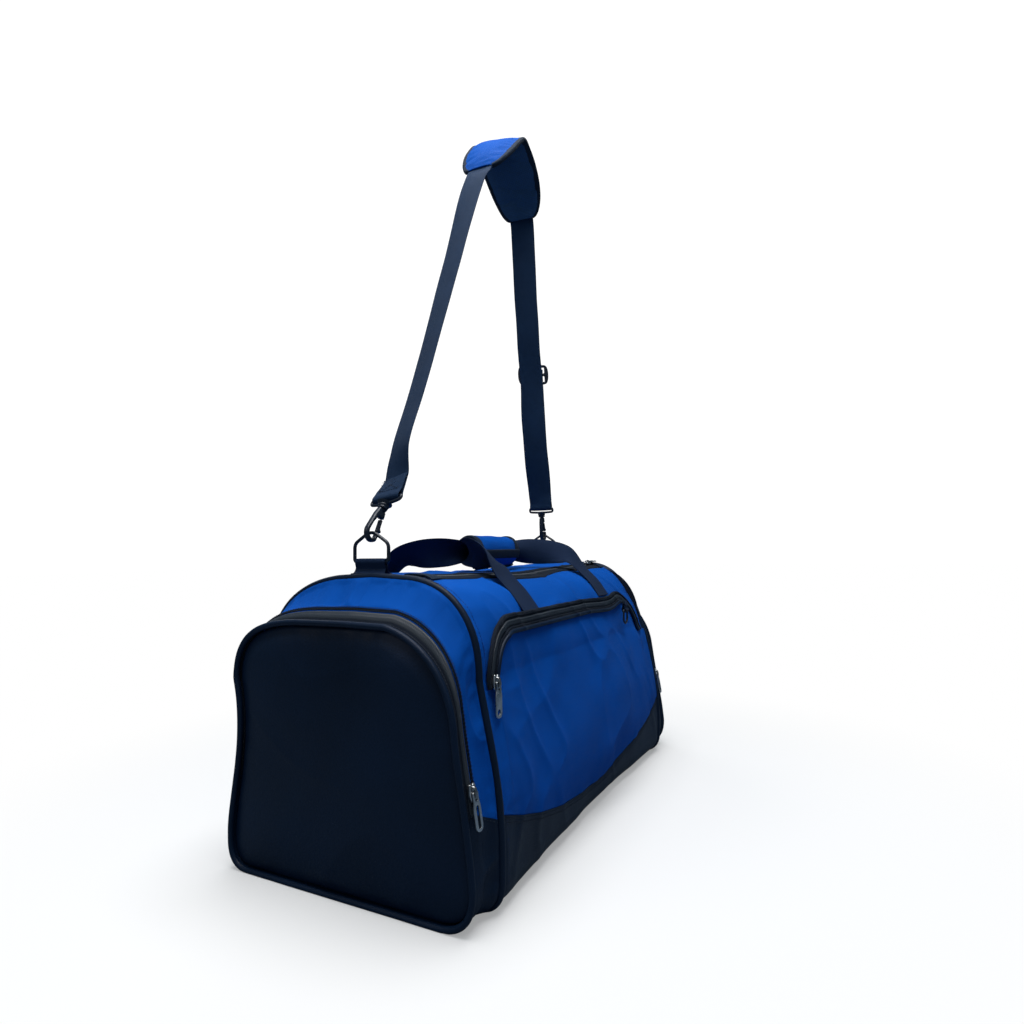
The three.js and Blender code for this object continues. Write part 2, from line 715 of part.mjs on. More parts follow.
// A snap hook seen from its side, nose at the origin and stem up along y.
function hookGeometry() {
  const outline = new THREE.Shape();
  outline.absarc(0, 0, 10, Math.PI, 2 * Math.PI, false);
  outline.lineTo(6.6, 22);
  outline.lineTo(4, 30);
  outline.lineTo(-4, 30);
  outline.lineTo(-6.5, 22);
  outline.closePath();
  const hollow = new THREE.Path();
  hollow.absarc(0, 0, 6.4, Math.PI, 2 * Math.PI, false);
  hollow.lineTo(3.2, 20);
  hollow.lineTo(-3.8, 20);
  hollow.closePath();
  outline.holes.push(hollow);
  const flat = extruded(outline, 2 * HOOK_HALF, 8);
  const opening = block(6.8, 15, 8, 6.6, 12.5, 0);
  const stem = new THREE.CylinderGeometry(3.2, 3.2, 8, 10).translate(0, 33.4, 0);
  return joined(cut(flat, opening), stem);
}

function gateGeometry() {
  const bar = new THREE.Shape();
  bar.moveTo(5.4, 5.5);
  bar.lineTo(8.6, 5.5);
  bar.lineTo(6.6, 19);
  bar.lineTo(3.6, 19);
  bar.closePath();
  return extruded(bar, 2 * HOOK_HALF - 0.6);
}

// The strap loop: a flat collar that turns on the hook's stem, with a rounded frame for the webbing.
function loopGeometry() {
  const half = WEBBING / 2 + 1;
  const frame = new THREE.Shape();
  frame.moveTo(-half - 3, 42);
  frame.quadraticCurveTo(-half - 3, 38, -half + 2, 38);
  frame.lineTo(half - 2, 38);
  frame.quadraticCurveTo(half + 3, 38, half + 3, 42);
  frame.lineTo(half + 2, HOOK_EYE + LOOP_BAR / 2);
  frame.lineTo(-half - 2, HOOK_EYE + LOOP_BAR / 2);
  frame.closePath();
  const hole = new THREE.Path();
  hole.moveTo(-half, 41.3);
  hole.lineTo(-half, HOOK_EYE - LOOP_BAR / 2);
  hole.lineTo(half, HOOK_EYE - LOOP_BAR / 2);
  hole.lineTo(half, 41.3);
  hole.closePath();
  frame.holes.push(hole);
  const flat = extruded(frame, LOOP_BAR).rotateY(Math.PI / 2);
  const collar = new THREE.CylinderGeometry(6, 5, 6, 12).translate(0, 35.5, 0);
  const bore = new THREE.CylinderGeometry(3.6, 3.6, 12, 12).translate(0, 32.5, 0);
  return cut(joined(flat, collar), bore);
}

function addHook(parent, name, along, lean) {
  const group = new THREE.Group();
  group.position.set(along, 0, 0);
  group.rotation.y = radians(lean);
  const pieces = { hook: hookGeometry(), gate: gateGeometry(), hook_loop: loopGeometry() };
  for (const [piece, geometry] of Object.entries(pieces)) {
    addPart(group, `${name}_${piece}`, geometry.rotateX(Math.PI / 2), 'plastic');
  }
  parent.add(group);
}

// A point in the strap's plane beside a hook's axis: up along it and sideways from it.
function besideHook(along, lean, up, side) {
  const angle = radians(lean);
  const [c, s] = [Math.cos(angle), Math.sin(angle)];
  return [along + up * s + side * c, up * c - side * s];
}

function turnRoundBar(along, lean, fromDegrees, toDegrees) {
  const radius = LOOP_BAR / 2 + GAP + 0.5 + WEBBING_THICKNESS / 2;
  return [0, 1, 2, 3, 4].map((k) => {
    const turn = radians(THREE.MathUtils.lerp(fromDegrees, toDegrees, k / 4));
    return besideHook(along, lean, HOOK_EYE + radius * Math.sin(turn), radius * Math.cos(turn));
  });
}

// A webbing seen from its edge: a line with thickness, extruded across.
function edgeOn(points, thickness, width) {
  const left = [];
  const right = [];
  points.forEach(([x, z], i) => {
    const [ax, az] = points[Math.max(i - 1, 0)];
    const [bx, bz] = points[Math.min(i + 1, points.length - 1)];
    const length = Math.hypot(bx - ax, bz - az);
    const nx = ((az - bz) / length) * (thickness / 2);
    const nz = ((bx - ax) / length) * (thickness / 2);
    left.push(new THREE.Vector2(x + nx, z + nz));
    right.push(new THREE.Vector2(x - nx, z - nz));
  });
  return extruded(new THREE.Shape([...left, ...right.reverse()]), width).rotateX(Math.PI / 2);
}

const APEX = [345, 597];
const APEX_RADIUS = 14;
const PAD_NEAR = [272, 533];
const PAD_FAR_END = [428, 528];
const ADJUSTER_CENTRE = [458, 270];

// The strap's middle line over the top, near side to far side, between the two hooks.
function strapCrown() {
  const climb = [[56, 98], [86, 156], [118, 221], [186, 368], [249, 500], PAD_NEAR, [309, 580]];
  const over = [];
  for (let k = 0; k <= 4; k++) {
    const turn = radians(THREE.MathUtils.lerp(130, 40, k / 4));
    over.push([APEX[0] + APEX_RADIUS * Math.cos(turn), APEX[1] + APEX_RADIUS * Math.sin(turn)]);
  }
  return [...climb, ...over, [386, 585], [412, 560], PAD_FAR_END, [434, 480]];
}

function strapDescent() {
  const [x, z] = besideHook(STRAP_SPAN, FAR_HOOK_LEAN, HOOK_EYE + 26, -1.2);
  return [[447, 340], ADJUSTER_CENTRE, [470, 150], [x, z]];
}

function strapWebbing() {
  const nearFold = [
    besideHook(0, NEAR_HOOK_LEAN, HOOK_EYE + 30, -1.6),
    besideHook(0, NEAR_HOOK_LEAN, HOOK_EYE + 8, -2.4),
    ...turnRoundBar(0, NEAR_HOOK_LEAN, 180, 360),
    besideHook(0, NEAR_HOOK_LEAN, HOOK_EYE + 9, 1.8),
    besideHook(0, NEAR_HOOK_LEAN, HOOK_EYE + 30, 0.8),
  ];
  const farFold = [
    besideHook(STRAP_SPAN, FAR_HOOK_LEAN, HOOK_EYE + 8, -2),
    ...turnRoundBar(STRAP_SPAN, FAR_HOOK_LEAN, 180, 360),
    besideHook(STRAP_SPAN, FAR_HOOK_LEAN, HOOK_EYE + 12, 2.6),
  ];
  return edgeOn([...nearFold, ...strapCrown(), ...strapDescent(), ...farFold], WEBBING_THICKNESS, WEBBING);
}

// The end of the webbing that comes back up from the far hook to the adjuster.
function strapReturn() {
  const low = besideHook(STRAP_SPAN, FAR_HOOK_LEAN, HOOK_EYE + 12.6, 2.6);
  const points = [low, [483.8, 110], [473.2, 150], [ADJUSTER_CENTRE[0] + 4.2, ADJUSTER_CENTRE[1] - 6]];
  return edgeOn(points, WEBBING_THICKNESS, WEBBING);
}

function adjusterGeometry() {
  const half = WEBBING / 2;
  const frame = new THREE.Shape();
  frame.moveTo(-half - 4, -16);
  frame.lineTo(half + 4, -16);
  frame.lineTo(half + 4, 16);
  frame.lineTo(-half - 4, 16);
  frame.closePath();
  for (const middle of [-7.4, 7.4]) {
    const slot = new THREE.Path();
    slot.moveTo(-half - 0.6, middle - 5);
    slot.lineTo(-half - 0.6, middle + 5);
    slot.lineTo(half + 0.6, middle + 5);
    slot.lineTo(half + 0.6, middle - 5);
    slot.closePath();
    frame.holes.push(slot);
  }
  return extruded(frame, 3).rotateX(Math.PI / 2).rotateZ(Math.PI / 2);
}

// The pad's middle line, with the share of its full width at each point.
function padStops() {
  const line = strapCrown();
  const start = line.findIndex((point) => point === PAD_NEAR);
  const end = line.findIndex((point) => point === PAD_FAR_END);
  return line.slice(start, end + 1);
}

function padSheet(outside, thickness) {
  const stops = padStops();
  const last = stops.length - 1;
  const lengths = [0];
  for (let i = 1; i <= last; i++) {
    lengths.push(lengths[i - 1] + Math.hypot(stops[i][0] - stops[i - 1][0], stops[i][1] - stops[i - 1][1]));
  }
  const face = (lift) => (u, v) => {
    const i = Math.round(u * last);
    const [x, z] = stops[i];
    const [ax, az] = stops[Math.max(i - 1, 0)];
    const [bx, bz] = stops[Math.min(i + 1, last)];
    const length = Math.hypot(bx - ax, bz - az);
    const share = Math.sin(Math.PI * THREE.MathUtils.lerp(0.14, 0.86, lengths[i] / lengths[last])) ** 0.7;
    const width = (v - 0.5) * PAD_WIDTH * share;
    return vec(x + ((az - bz) / length) * lift, width, z + ((bx - ax) / length) * lift);
  };
  return sheet(face(outside), face(outside - thickness), last, 2);
}

function addStrap() {
  const strap = new THREE.Group();
  const along = strapLine.clone().normalize();
  const across = vec(0, 0, 1).cross(along).normalize();
  const up = along.clone().cross(across);
  strap.applyMatrix4(new THREE.Matrix4().makeBasis(along, across, up).setPosition(NEAR_RING));
  addHook(strap, 'near', 0, NEAR_HOOK_LEAN);
  addHook(strap, 'far', STRAP_SPAN, FAR_HOOK_LEAN);
  addPart(strap, 'strap_webbing', strapWebbing(), 'webbing');
  addPart(strap, 'strap_return', strapReturn(), 'webbing');
  const adjuster = addPart(strap, 'strap_adjuster', adjusterGeometry(), 'plastic');
  adjuster.position.set(ADJUSTER_CENTRE[0] + 3.2, 0, ADJUSTER_CENTRE[1] + 12.5);
  adjuster.rotation.y = radians(-6);
  addPart(strap, 'shoulder_pad_cover', padSheet(3.6, 2.2), 'blue');
  addPart(strap, 'shoulder_pad_cushion', padSheet(-1.4, 5.5), 'foam');
  bag.add(strap);
}

// Key ring on the front pocket

const KEY_RING_X = 150;
const KEY_RING_Z = 232;

function keyRingGeometry() {
  const shape = new THREE.Shape();
  shape.moveTo(-10, 1.5);
  shape.lineTo(10, 1.5);
  shape.lineTo(10, -8);
  shape.quadraticCurveTo(9, -21, 0, -21);
  shape.quadraticCurveTo(-9, -21, -10, -8);
  shape.closePath();
  const hole = new THREE.Path();
  hole.moveTo(-7, -1.5);
  hole.lineTo(-7, -8);
  hole.quadraticCurveTo(-6.5, -18, 0, -18);
  hole.quadraticCurveTo(6.5, -18, 7, -8);
  hole.lineTo(7, -1.5);
  hole.closePath();
  shape.holes.push(hole);
  return extruded(shape, 3, 5).rotateX(Math.PI / 2);
}

function keyTabGeometry() {
  const shape = new THREE.Shape();
  shape.moveTo(0.4, 14);
  shape.lineTo(-1.2, 14);
  shape.lineTo(-3.8, 1);
  shape.absarc(0, 0, 3.8, Math.PI, 2 * Math.PI, false);
  shape.lineTo(3.8, 2);
  shape.lineTo(0.8, 5);
  shape.closePath();
  const hole = new THREE.Path();
  hole.absarc(0, 0, 2.5, Math.PI, 2 * Math.PI, false);
  hole.lineTo(2.2, 2.1);
  hole.lineTo(-2.2, 2.3);
  hole.closePath();
  shape.holes.push(hole);
  return extruded(shape, 12).rotateX(Math.PI / 2).rotateZ(Math.PI / 2);
}

function addKeyRing() {
  const group = new THREE.Group();
  const lift = 10.2;
  group.position.copy(frontPoint(KEY_RING_X, KEY_RING_Z, lift));
  addPart(group, 'key_ring', keyRingGeometry(), 'plastic');
  addPart(group, 'key_ring_tab', keyTabGeometry(), 'webbing');
  bag.add(group);
}

addMainCompartment();
addEndPocket('near', -1);
addEndPocket('far', 1);
addFrontPocket();
addSliders();
addRing('near', NEAR_RING);
addRing('far', FAR_RING);
addHandles();
addStrap();
addKeyRing();

export default bag;
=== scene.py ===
"""Looks of the sports duffel bag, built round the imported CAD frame.

Metres. +X runs along the bag, -Y is the side with the long pocket, +Z is up.
"""
import json
import math

import bmesh
import bpy
import numpy as np
from mathutils import Matrix, Vector


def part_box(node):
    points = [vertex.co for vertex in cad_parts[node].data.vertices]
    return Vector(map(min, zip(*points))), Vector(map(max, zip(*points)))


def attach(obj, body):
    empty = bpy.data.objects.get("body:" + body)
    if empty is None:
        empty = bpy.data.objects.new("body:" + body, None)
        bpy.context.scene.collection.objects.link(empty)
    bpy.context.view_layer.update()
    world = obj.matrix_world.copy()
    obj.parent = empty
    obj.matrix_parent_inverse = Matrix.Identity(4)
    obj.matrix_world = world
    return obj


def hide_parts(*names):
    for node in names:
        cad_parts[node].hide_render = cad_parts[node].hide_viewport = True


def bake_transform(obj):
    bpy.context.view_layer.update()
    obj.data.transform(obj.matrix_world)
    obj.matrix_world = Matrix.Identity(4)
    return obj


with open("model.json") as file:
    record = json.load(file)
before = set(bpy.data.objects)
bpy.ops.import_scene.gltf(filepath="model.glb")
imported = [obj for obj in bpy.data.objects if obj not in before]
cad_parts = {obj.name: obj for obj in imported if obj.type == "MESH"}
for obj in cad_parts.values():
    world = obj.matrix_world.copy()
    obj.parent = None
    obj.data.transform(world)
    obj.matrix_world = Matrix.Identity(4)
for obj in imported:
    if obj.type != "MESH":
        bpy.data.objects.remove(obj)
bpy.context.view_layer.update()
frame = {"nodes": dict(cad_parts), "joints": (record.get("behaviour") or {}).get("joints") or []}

# Sizes read from the frame
base_low, base_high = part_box("base_panel")
HALF_BODY = base_high.x
BODY_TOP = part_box("near_piping")[1].z
POCKET_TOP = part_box("near_pocket_piping")[1].z
END_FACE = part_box("far_pocket_panel")[1].x
MAIN_PIPING_X = (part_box("far_piping")[0].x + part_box("far_piping")[1].x) / 2
PIPING_RADIUS = (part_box("far_piping")[1].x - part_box("far_piping")[0].x) / 2
END_PIPING_X = (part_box("far_pocket_piping")[0].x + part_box("far_pocket_piping")[1].x) / 2
GUSSET_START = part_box("far_pocket_base")[0].x
GUSSET_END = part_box("far_pocket_base")[1].x
TOP_ZIP_HALF_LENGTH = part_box("top_zip_tape_front")[1].x

# Sizes of the sewn parts
SEAM_MIDDLE = 0.038
SEAM_RISE = 0.048
TOP_ZIP_Y = -0.045
TOP_ZIP_HALF = 0.016
SIDE_ZIP_TOP = 0.250
SIDE_ZIP_BEND = 0.055
SIDE_ZIP_NEAR = -0.247
SIDE_ZIP_FAR = 0.234
SIDE_ZIP_HALF = 0.008
POCKET_BULGE = 0.009
CLOTH = 0.0014
WEBBING = 0.038
WEBBING_THICKNESS = 0.0018
GUSSET_SPLIT = 0.66
GUSSET_SLIDER = 0.80
GUSSET_SEAM_INNER = 0.084
GUSSET_SEAM_OUTER = 0.100
ZIP_PITCH = 0.0021

DEGREE = math.pi / 180


# Numbers along lines

def lerp(a, b, t):
    return a + (b - a) * t


def smooth(t):
    t = np.clip(t, 0, 1)
    return t * t * (3 - 2 * t)


def bump(value, centre, reach):
    """A smooth hill, 1 at centre and 0 beyond reach."""
    return smooth(1 - np.abs(np.asarray(value) - centre) / reach)


def unit(vectors):
    return vectors / np.maximum(np.linalg.norm(vectors, axis=-1, keepdims=True), 1e-12)


def bezier(*controls):
    points = [np.array(c, float)[None] for c in controls]
    t = np.linspace(0, 1, 240)[:, None]
    while len(points) > 1:
        points = [a * (1 - t) + b * t for a, b in zip(points, points[1:])]
    return points[0]


def lengths_along(points):
    steps = np.linalg.norm(np.diff(points, axis=0), axis=1)
    return np.concatenate([[0], np.cumsum(steps)])


def evenly(points, count):
    """The same line with count points at equal distances."""
    points = np.asarray(points, float)
    distance = lengths_along(points)
    wanted = np.linspace(0, distance[-1], count)
    return np.stack([np.interp(wanted, distance, points[:, k]) for k in range(points.shape[1])], 1)


def curve_through(points, count, values=()):
    """A smooth line through the points, with values that change smoothly from point to point."""
    points = np.asarray(points, float)
    knots = np.concatenate([[0], np.cumsum(np.linalg.norm(np.diff(points, axis=0), axis=1) ** 0.5)])
    padded = np.vstack([2 * points[0] - points[1], points, 2 * points[-1] - points[-2]])
    marks = np.concatenate([[2 * knots[0] - knots[1]], knots, [2 * knots[-1] - knots[-2]]])
    fine = []
    places = []
    for k in range(1, len(padded) - 2):
        share = np.linspace(0, 1, 40, endpoint=k == len(padded) - 3)
        t = lerp(marks[k], marks[k + 1], share)[:, None]
        fine.append(centripetal_span(padded[k - 1:k + 3], marks[k - 1:k + 3], t))
        places.append(k - 1 + share)
    fine, places = np.vstack(fine), np.concatenate(places)
    distance = lengths_along(fine)
    wanted = np.linspace(0, distance[-1], count)
    line = np.stack([np.interp(wanted, distance, fine[:, k]) for k in range(3)], 1)
    place = np.interp(wanted, distance, places)
    low = np.clip(np.floor(place).astype(int), 0, len(points) - 2)
    part = smooth(place - low)
    blended = []
    for row in values:
        row = np.asarray(row, float)
        share = part if row.ndim == 1 else part[:, None]
        blended.append(lerp(row[low], row[low + 1], share))
    return [line, *blended]


def centripetal_span(p, k, t):
    a1 = ((k[1] - t) * p[0] + (t - k[0]) * p[1]) / (k[1] - k[0])
    a2 = ((k[2] - t) * p[1] + (t - k[1]) * p[2]) / (k[2] - k[1])
    a3 = ((k[3] - t) * p[2] + (t - k[2]) * p[3]) / (k[3] - k[2])
    b1 = ((k[2] - t) * a1 + (t - k[0]) * a2) / (k[2] - k[0])
    b2 = ((k[3] - t) * a2 + (t - k[1]) * a3) / (k[3] - k[1])
    return ((k[2] - t) * b1 + (t - k[1]) * b2) / (k[2] - k[1])


# Seeded noise for folds and puckers

def noise(u, v, seed):
    """Smooth values from -1 to 1 over a plane, one cell per unit."""
    table = np.random.default_rng(seed).uniform(-1, 1, (64, 64))
    u, v = np.broadcast_arrays(np.asarray(u, float), np.asarray(v, float))
    cell_u, cell_v = np.floor(u).astype(int), np.floor(v).astype(int)
    part_u, part_v = u - cell_u, v - cell_v
    part_u = part_u ** 3 * (part_u * (6 * part_u - 15) + 10)
    part_v = part_v ** 3 * (part_v * (6 * part_v - 15) + 10)
    value = lambda a, b: table[(cell_u + a) % 64, (cell_v + b) % 64]
    low = lerp(value(0, 0), value(1, 0), part_u)
    high = lerp(value(0, 1), value(1, 1), part_u)
    return lerp(low, high, part_v)


def creases(u, v, angle, length, spacing, seed):
    """Soft folds that run at an angle, each about length long and spacing apart. 0 to 1."""
    c, s = math.cos(angle * DEGREE), math.sin(angle * DEGREE)
    along, across = (u * c + v * s) / length, (v * c - u * s) / spacing
    bent = across + 0.6 * noise(along, across * 0.4, seed + 1)
    return (1 - np.abs(noise(along, bent, seed))) ** 3


# Shapes: points, faces and where each point lies on its cloth

class Shape:
    def __init__(self, points, faces, thread=None):
        self.points = np.asarray(points, float).reshape(-1, 3)
        self.faces = list(faces)
        self.thread = self.points.copy() if thread is None else np.asarray(thread, float).reshape(-1, 3)

    def placed(self, matrix):
        m = np.array(matrix, float)
        return Shape(self.points @ m[:3, :3].T + m[:3, 3], self.faces, self.thread)


def merged(*shapes):
    points, faces, thread, start = [], [], [], 0
    for shape in shapes:
        points.append(shape.points)
        thread.append(shape.thread)
        faces.extend(tuple(i + start for i in face) for face in shape.faces)
        start += len(shape.points)
    return Shape(np.vstack(points), faces, np.vstack(thread))


def flipped(shape):
    return Shape(shape.points, [tuple(reversed(face)) for face in shape.faces], shape.thread)


def grid_faces(rows, columns, start=0, wrap_rows=False, wrap_columns=False):
    a = np.arange(rows if wrap_rows else rows - 1)[:, None]
    b = np.arange(columns if wrap_columns else columns - 1)[None]
    a2, b2 = (a + 1) % rows, (b + 1) % columns
    quads = np.stack(np.broadcast_arrays(a * columns + b, a2 * columns + b,
                                         a2 * columns + b2, a * columns + b2), -1)
    return (quads.reshape(-1, 4) + start).tolist()


def cloth_sheet(outer, inner):
    """A closed thin sheet between two equal grids of points."""
    rows, columns = outer.shape[:2]
    count = rows * columns
    faces = grid_faces(rows, columns)
    faces += [tuple(reversed(face)) for face in grid_faces(rows, columns, count)]
    index = np.arange(count).reshape(rows, columns)
    rim = np.concatenate([index[0], index[1:, -1], index[-1, -2::-1], index[-2:0:-1, 0]]).tolist()
    for k, a in enumerate(rim):
        b = rim[(k + 1) % len(rim)]
        faces.append((a, b, b + count, a + count))
    thread = np.zeros((rows, columns, 3))
    thread[1:, :, 0] = np.cumsum(np.linalg.norm(np.diff(outer, axis=0), axis=2), axis=0)
    thread[:, 1:, 1] = np.cumsum(np.linalg.norm(np.diff(outer, axis=1), axis=2), axis=1)
    thread[..., 0] = thread[..., 0].mean(axis=1, keepdims=True)
    thread[..., 1] = thread[..., 1].mean(axis=0, keepdims=True)
    points = np.concatenate([outer.reshape(-1, 3), inner.reshape(-1, 3)])
    return Shape(points, faces, np.vstack([thread.reshape(-1, 3)] * 2))


def tube(line, rings, closed, thread_scale=1.0):
    """A skin over rings of points. rings has one ring per point of the line."""
    rows, columns = rings.shape[:2]
    faces = grid_faces(rows, columns, wrap_rows=closed, wrap_columns=True)
    if not closed:
        faces.append(tuple(reversed(range(columns))))
        faces.append(tuple(range((rows - 1) * columns, rows * columns)))
    distance = lengths_along(line)
    turn = np.arange(columns) / columns
    thread = np.zeros((rows, columns, 3))
    thread[..., 0] = distance[:, None]
    thread[..., 1] = turn[None] * thread_scale
    return Shape(rings.reshape(-1, 3), faces, thread)


def directions(line, closed):
    if closed:
        return unit(np.roll(line, -1, axis=0) - np.roll(line, 1, axis=0))
    return unit(np.gradient(line, axis=0))


def cord(line, radius, closed=False, across=(1, 0, 0), sides=12, flatten=1.0):
    """A round cord whose cross-section is turned by a fixed direction. radius may vary along it."""
    line = np.asarray(line, float)
    tangent = directions(line, closed)
    first = unit(np.asarray(across, float) - tangent * (tangent @ np.asarray(across, float))[:, None])
    second = np.cross(tangent, first)
    turn = 2 * math.pi * np.arange(sides) / sides
    radius = np.broadcast_to(radius, len(line))[:, None, None]
    ring = (np.cos(turn)[None, :, None] * first[:, None] * flatten
            + np.sin(turn)[None, :, None] * second[:, None])
    return tube(line, line[:, None] + radius * ring, closed, 2 * math.pi * float(radius.mean()))


def ribbon(line, across, width, thickness, curl=0.0, crown=0.0):
    """A flat webbing with rounded edges. curl is the angle its cross-section is rolled through."""
    tangent = directions(line, False)
    across = unit(across - tangent * np.sum(across * tangent, axis=1, keepdims=True))
    normal = np.cross(tangent, across)
    flat = np.linspace(-1, 1, 9)
    side = np.concatenate([flat, [1.025], flat[::-1], [-1.025]])
    lift = np.concatenate([[0.72], np.ones(7), [0.72, 0], [-0.72], -np.ones(7), [-0.72, 0]])
    width, curl = np.broadcast_to(width, len(line)), np.broadcast_to(curl, len(line))
    crown = np.broadcast_to(crown, len(line))
    rings = []
    for k in range(len(line)):
        q = side * width[k] / 2
        angle = max(abs(curl[k]), 1e-3) * (1 if curl[k] >= 0 else -1)
        radius = width[k] / angle
        h = lift * thickness / 2
        sideways = (radius - h) * np.sin(q / radius)
        outward = radius - (radius - h) * np.cos(q / radius) + crown[k] * (1 - side ** 2)
        rings.append(line[k] + sideways[:, None] * across[k] + outward[:, None] * normal[k])
    shape = tube(line, np.array(rings), False)
    shape.thread[:, 1] = np.tile(side * float(np.mean(width)) / 2, len(line))
    return shape


def lathe(profile, sides=24):
    """A solid turned about Z from (radius, height) points. It starts and ends on the axis."""
    profile = np.asarray(profile, float)
    turn = 2 * math.pi * np.arange(sides) / sides
    radius, height = profile[1:-1, 0], profile[1:-1, 1]
    rings = np.stack([radius[:, None] * np.cos(turn), radius[:, None] * np.sin(turn),
                      np.repeat(height[:, None], sides, 1)], -1)
    rows = len(radius)
    faces = grid_faces(rows, sides, wrap_columns=True)
    points = np.vstack([rings.reshape(-1, 3), [[0, 0, profile[0, 1]], [0, 0, profile[-1, 1]]]])
    bottom, top = rows * sides, rows * sides + 1
    for k in range(sides):
        n = (k + 1) % sides
        faces.append((bottom, n, k))
        faces.append((top, (rows - 1) * sides + k, (rows - 1) * sides + n))
    return Shape(points, faces)


def in_scene(name, data):
    """A new object for the data, linked into the scene."""
    made = bpy.data.objects.new(name, data)
    bpy.context.scene.collection.objects.link(made)
    return made


def frame_matrix(x_axis, y_axis, z_axis, origin):
    matrix = np.eye(4)
    matrix[:3] = np.column_stack([x_axis, y_axis, z_axis, origin])
    return matrix


def closed_line(path, count):
    """A closed path as count points at equal distances."""
    return evenly(np.array([*path, path[0]]), count + 1)[:-1]


def plate(outline, holes, thickness, edge):
    """A flat plate in the XY plane with rounded edges, from outlines of (x, y) points."""
    curve = bpy.data.curves.new("plate", "CURVE")
    curve.dimensions = "2D"
    curve.fill_mode = "BOTH"
    curve.extrude = thickness / 2 - edge
    curve.bevel_depth = edge
    curve.bevel_resolution = 2
    curve.offset = -edge
    for loop in [outline, *holes]:
        spline = curve.splines.new("POLY")
        spline.points.add(len(loop) - 1)
        for point, (x, y) in zip(spline.points, loop):
            point.co = (x, y, 0, 1)
        spline.use_cyclic_u = True
    holder = in_scene("plate", curve)
    mesh = bpy.data.meshes.new_from_object(holder.evaluated_get(bpy.context.evaluated_depsgraph_get()))
    bpy.data.objects.remove(holder)
    bpy.data.curves.remove(curve)
    return welded(mesh)


def welded(mesh):
    """The mesh as a shape, with doubled points joined and faces turned out. The mesh is removed."""
    bm = bmesh.new()
    bm.from_mesh(mesh)
    bmesh.ops.remove_doubles(bm, verts=bm.verts, dist=1e-6)
    bmesh.ops.recalc_face_normals(bm, faces=bm.faces)
    shape = Shape([v.co[:] for v in bm.verts], [tuple(v.index for v in f.verts) for f in bm.faces])
    bm.free()
    bpy.data.meshes.remove(mesh)
    return shape


def arc(centre, radius, start, end, count=12):
    turn = np.linspace(start, end, count) * DEGREE
    return [(centre[0] + radius * math.cos(t), centre[1] + radius * math.sin(t)) for t in turn]


def rounded(corners, radius, count=6):
    """An outline through corner points, each corner rounded."""
    corners = [np.array(c, float) for c in corners]
    radii = np.broadcast_to(radius, len(corners))
    points = []
    for k, corner in enumerate(corners):
        before, after = corners[k - 1], corners[(k + 1) % len(corners)]
        back, ahead = unit(before - corner), unit(after - corner)
        reach = min(radii[k], np.linalg.norm(before - corner) * 0.49, np.linalg.norm(after - corner) * 0.49)
        for t in np.linspace(0, 1, count):
            start, end = corner + back * reach, corner + ahead * reach
            points.append(tuple((1 - t) ** 2 * start + 2 * t * (1 - t) * corner + t * t * end))
    return points


def add(name, shape, material, slot, body=None, stands_for=()):
    """Makes the shape an object with its material, on its CAD body."""
    mesh = bpy.data.meshes.new(name)
    mesh.from_pydata(shape.points.tolist(), [], shape.faces)
    attribute = mesh.attributes.new("thread", "FLOAT_VECTOR", "POINT")
    attribute.data.foreach_set("vector", shape.thread.astype(np.float32).ravel())
    mesh.validate()
    mesh.update()
    mesh.polygons.foreach_set("use_smooth", [True] * len(mesh.polygons))
    mesh.set_sharp_from_angle(angle=50 * DEGREE)
    mesh.materials.append(material)
    piece = in_scene(name, mesh)
    if body:
        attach(piece, body)
    if stands_for:
        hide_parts(*stands_for)
    return piece


# Outlines and surfaces of the bag

def half_outline(side, base, corner, wall, shoulder, crown, flat, top):
    """From the middle of the base, up a side wall and over a crown to the middle of the top."""
    at = lambda point: (side * point[0], point[1])
    return np.vstack([
        bezier((0, 0), at((base - corner, 0))),
        bezier(at((base - corner, 0)), at((base, 0)), at((base, corner))),
        bezier(at((base, corner)), *map(at, wall), at(shoulder)),
        bezier(at(shoulder), *map(at, crown), at(flat)),
        bezier(at(flat), (0, top)),
    ])


class Outline:
    """A closed outline across the bag. w runs from -1 at the top to 0 at the base, then by the back to 1."""

    def __init__(self, front, back):
        count = 700
        self.line = np.vstack([evenly(front, count)[::-1], evenly(back, count)[1:]])
        self.w = np.linspace(-1, 1, len(self.line))
        step = np.gradient(self.line, axis=0)
        normal = unit(np.stack([step[:, 1], -step[:, 0]], 1))
        average = np.ones(9) / 9
        self.normal = unit(np.stack([np.convolve(np.pad(n, 4, "wrap"), average, "valid")
                                     for n in normal.T], 1))
        self.length = lengths_along(self.line)[-1]

    def at(self, w, lift=0.0):
        """Y and Z of the outline at w, moved outwards by lift."""
        w = (np.asarray(w, float) + 1) % 2 - 1
        pick = lambda column: np.interp(w, self.w, column)
        y, z = pick(self.line[:, 0]), pick(self.line[:, 1])
        return y + lift * pick(self.normal[:, 0]), z + lift * pick(self.normal[:, 1])

    def front_at_height(self, z):
        part = (self.w > -0.985) & (self.w < -0.2)
        return np.interp(z, self.line[part, 1][::-1], self.w[part][::-1])

    def back_at_height(self, z):
        part = (self.w < 0.985) & (self.w > 0.2)
        return np.interp(z, self.line[part, 1], self.w[part])

    def top_at_depth(self, y):
        part = self.w < -0.72
        return np.interp(y, self.line[part, 0][::-1], self.w[part][::-1])


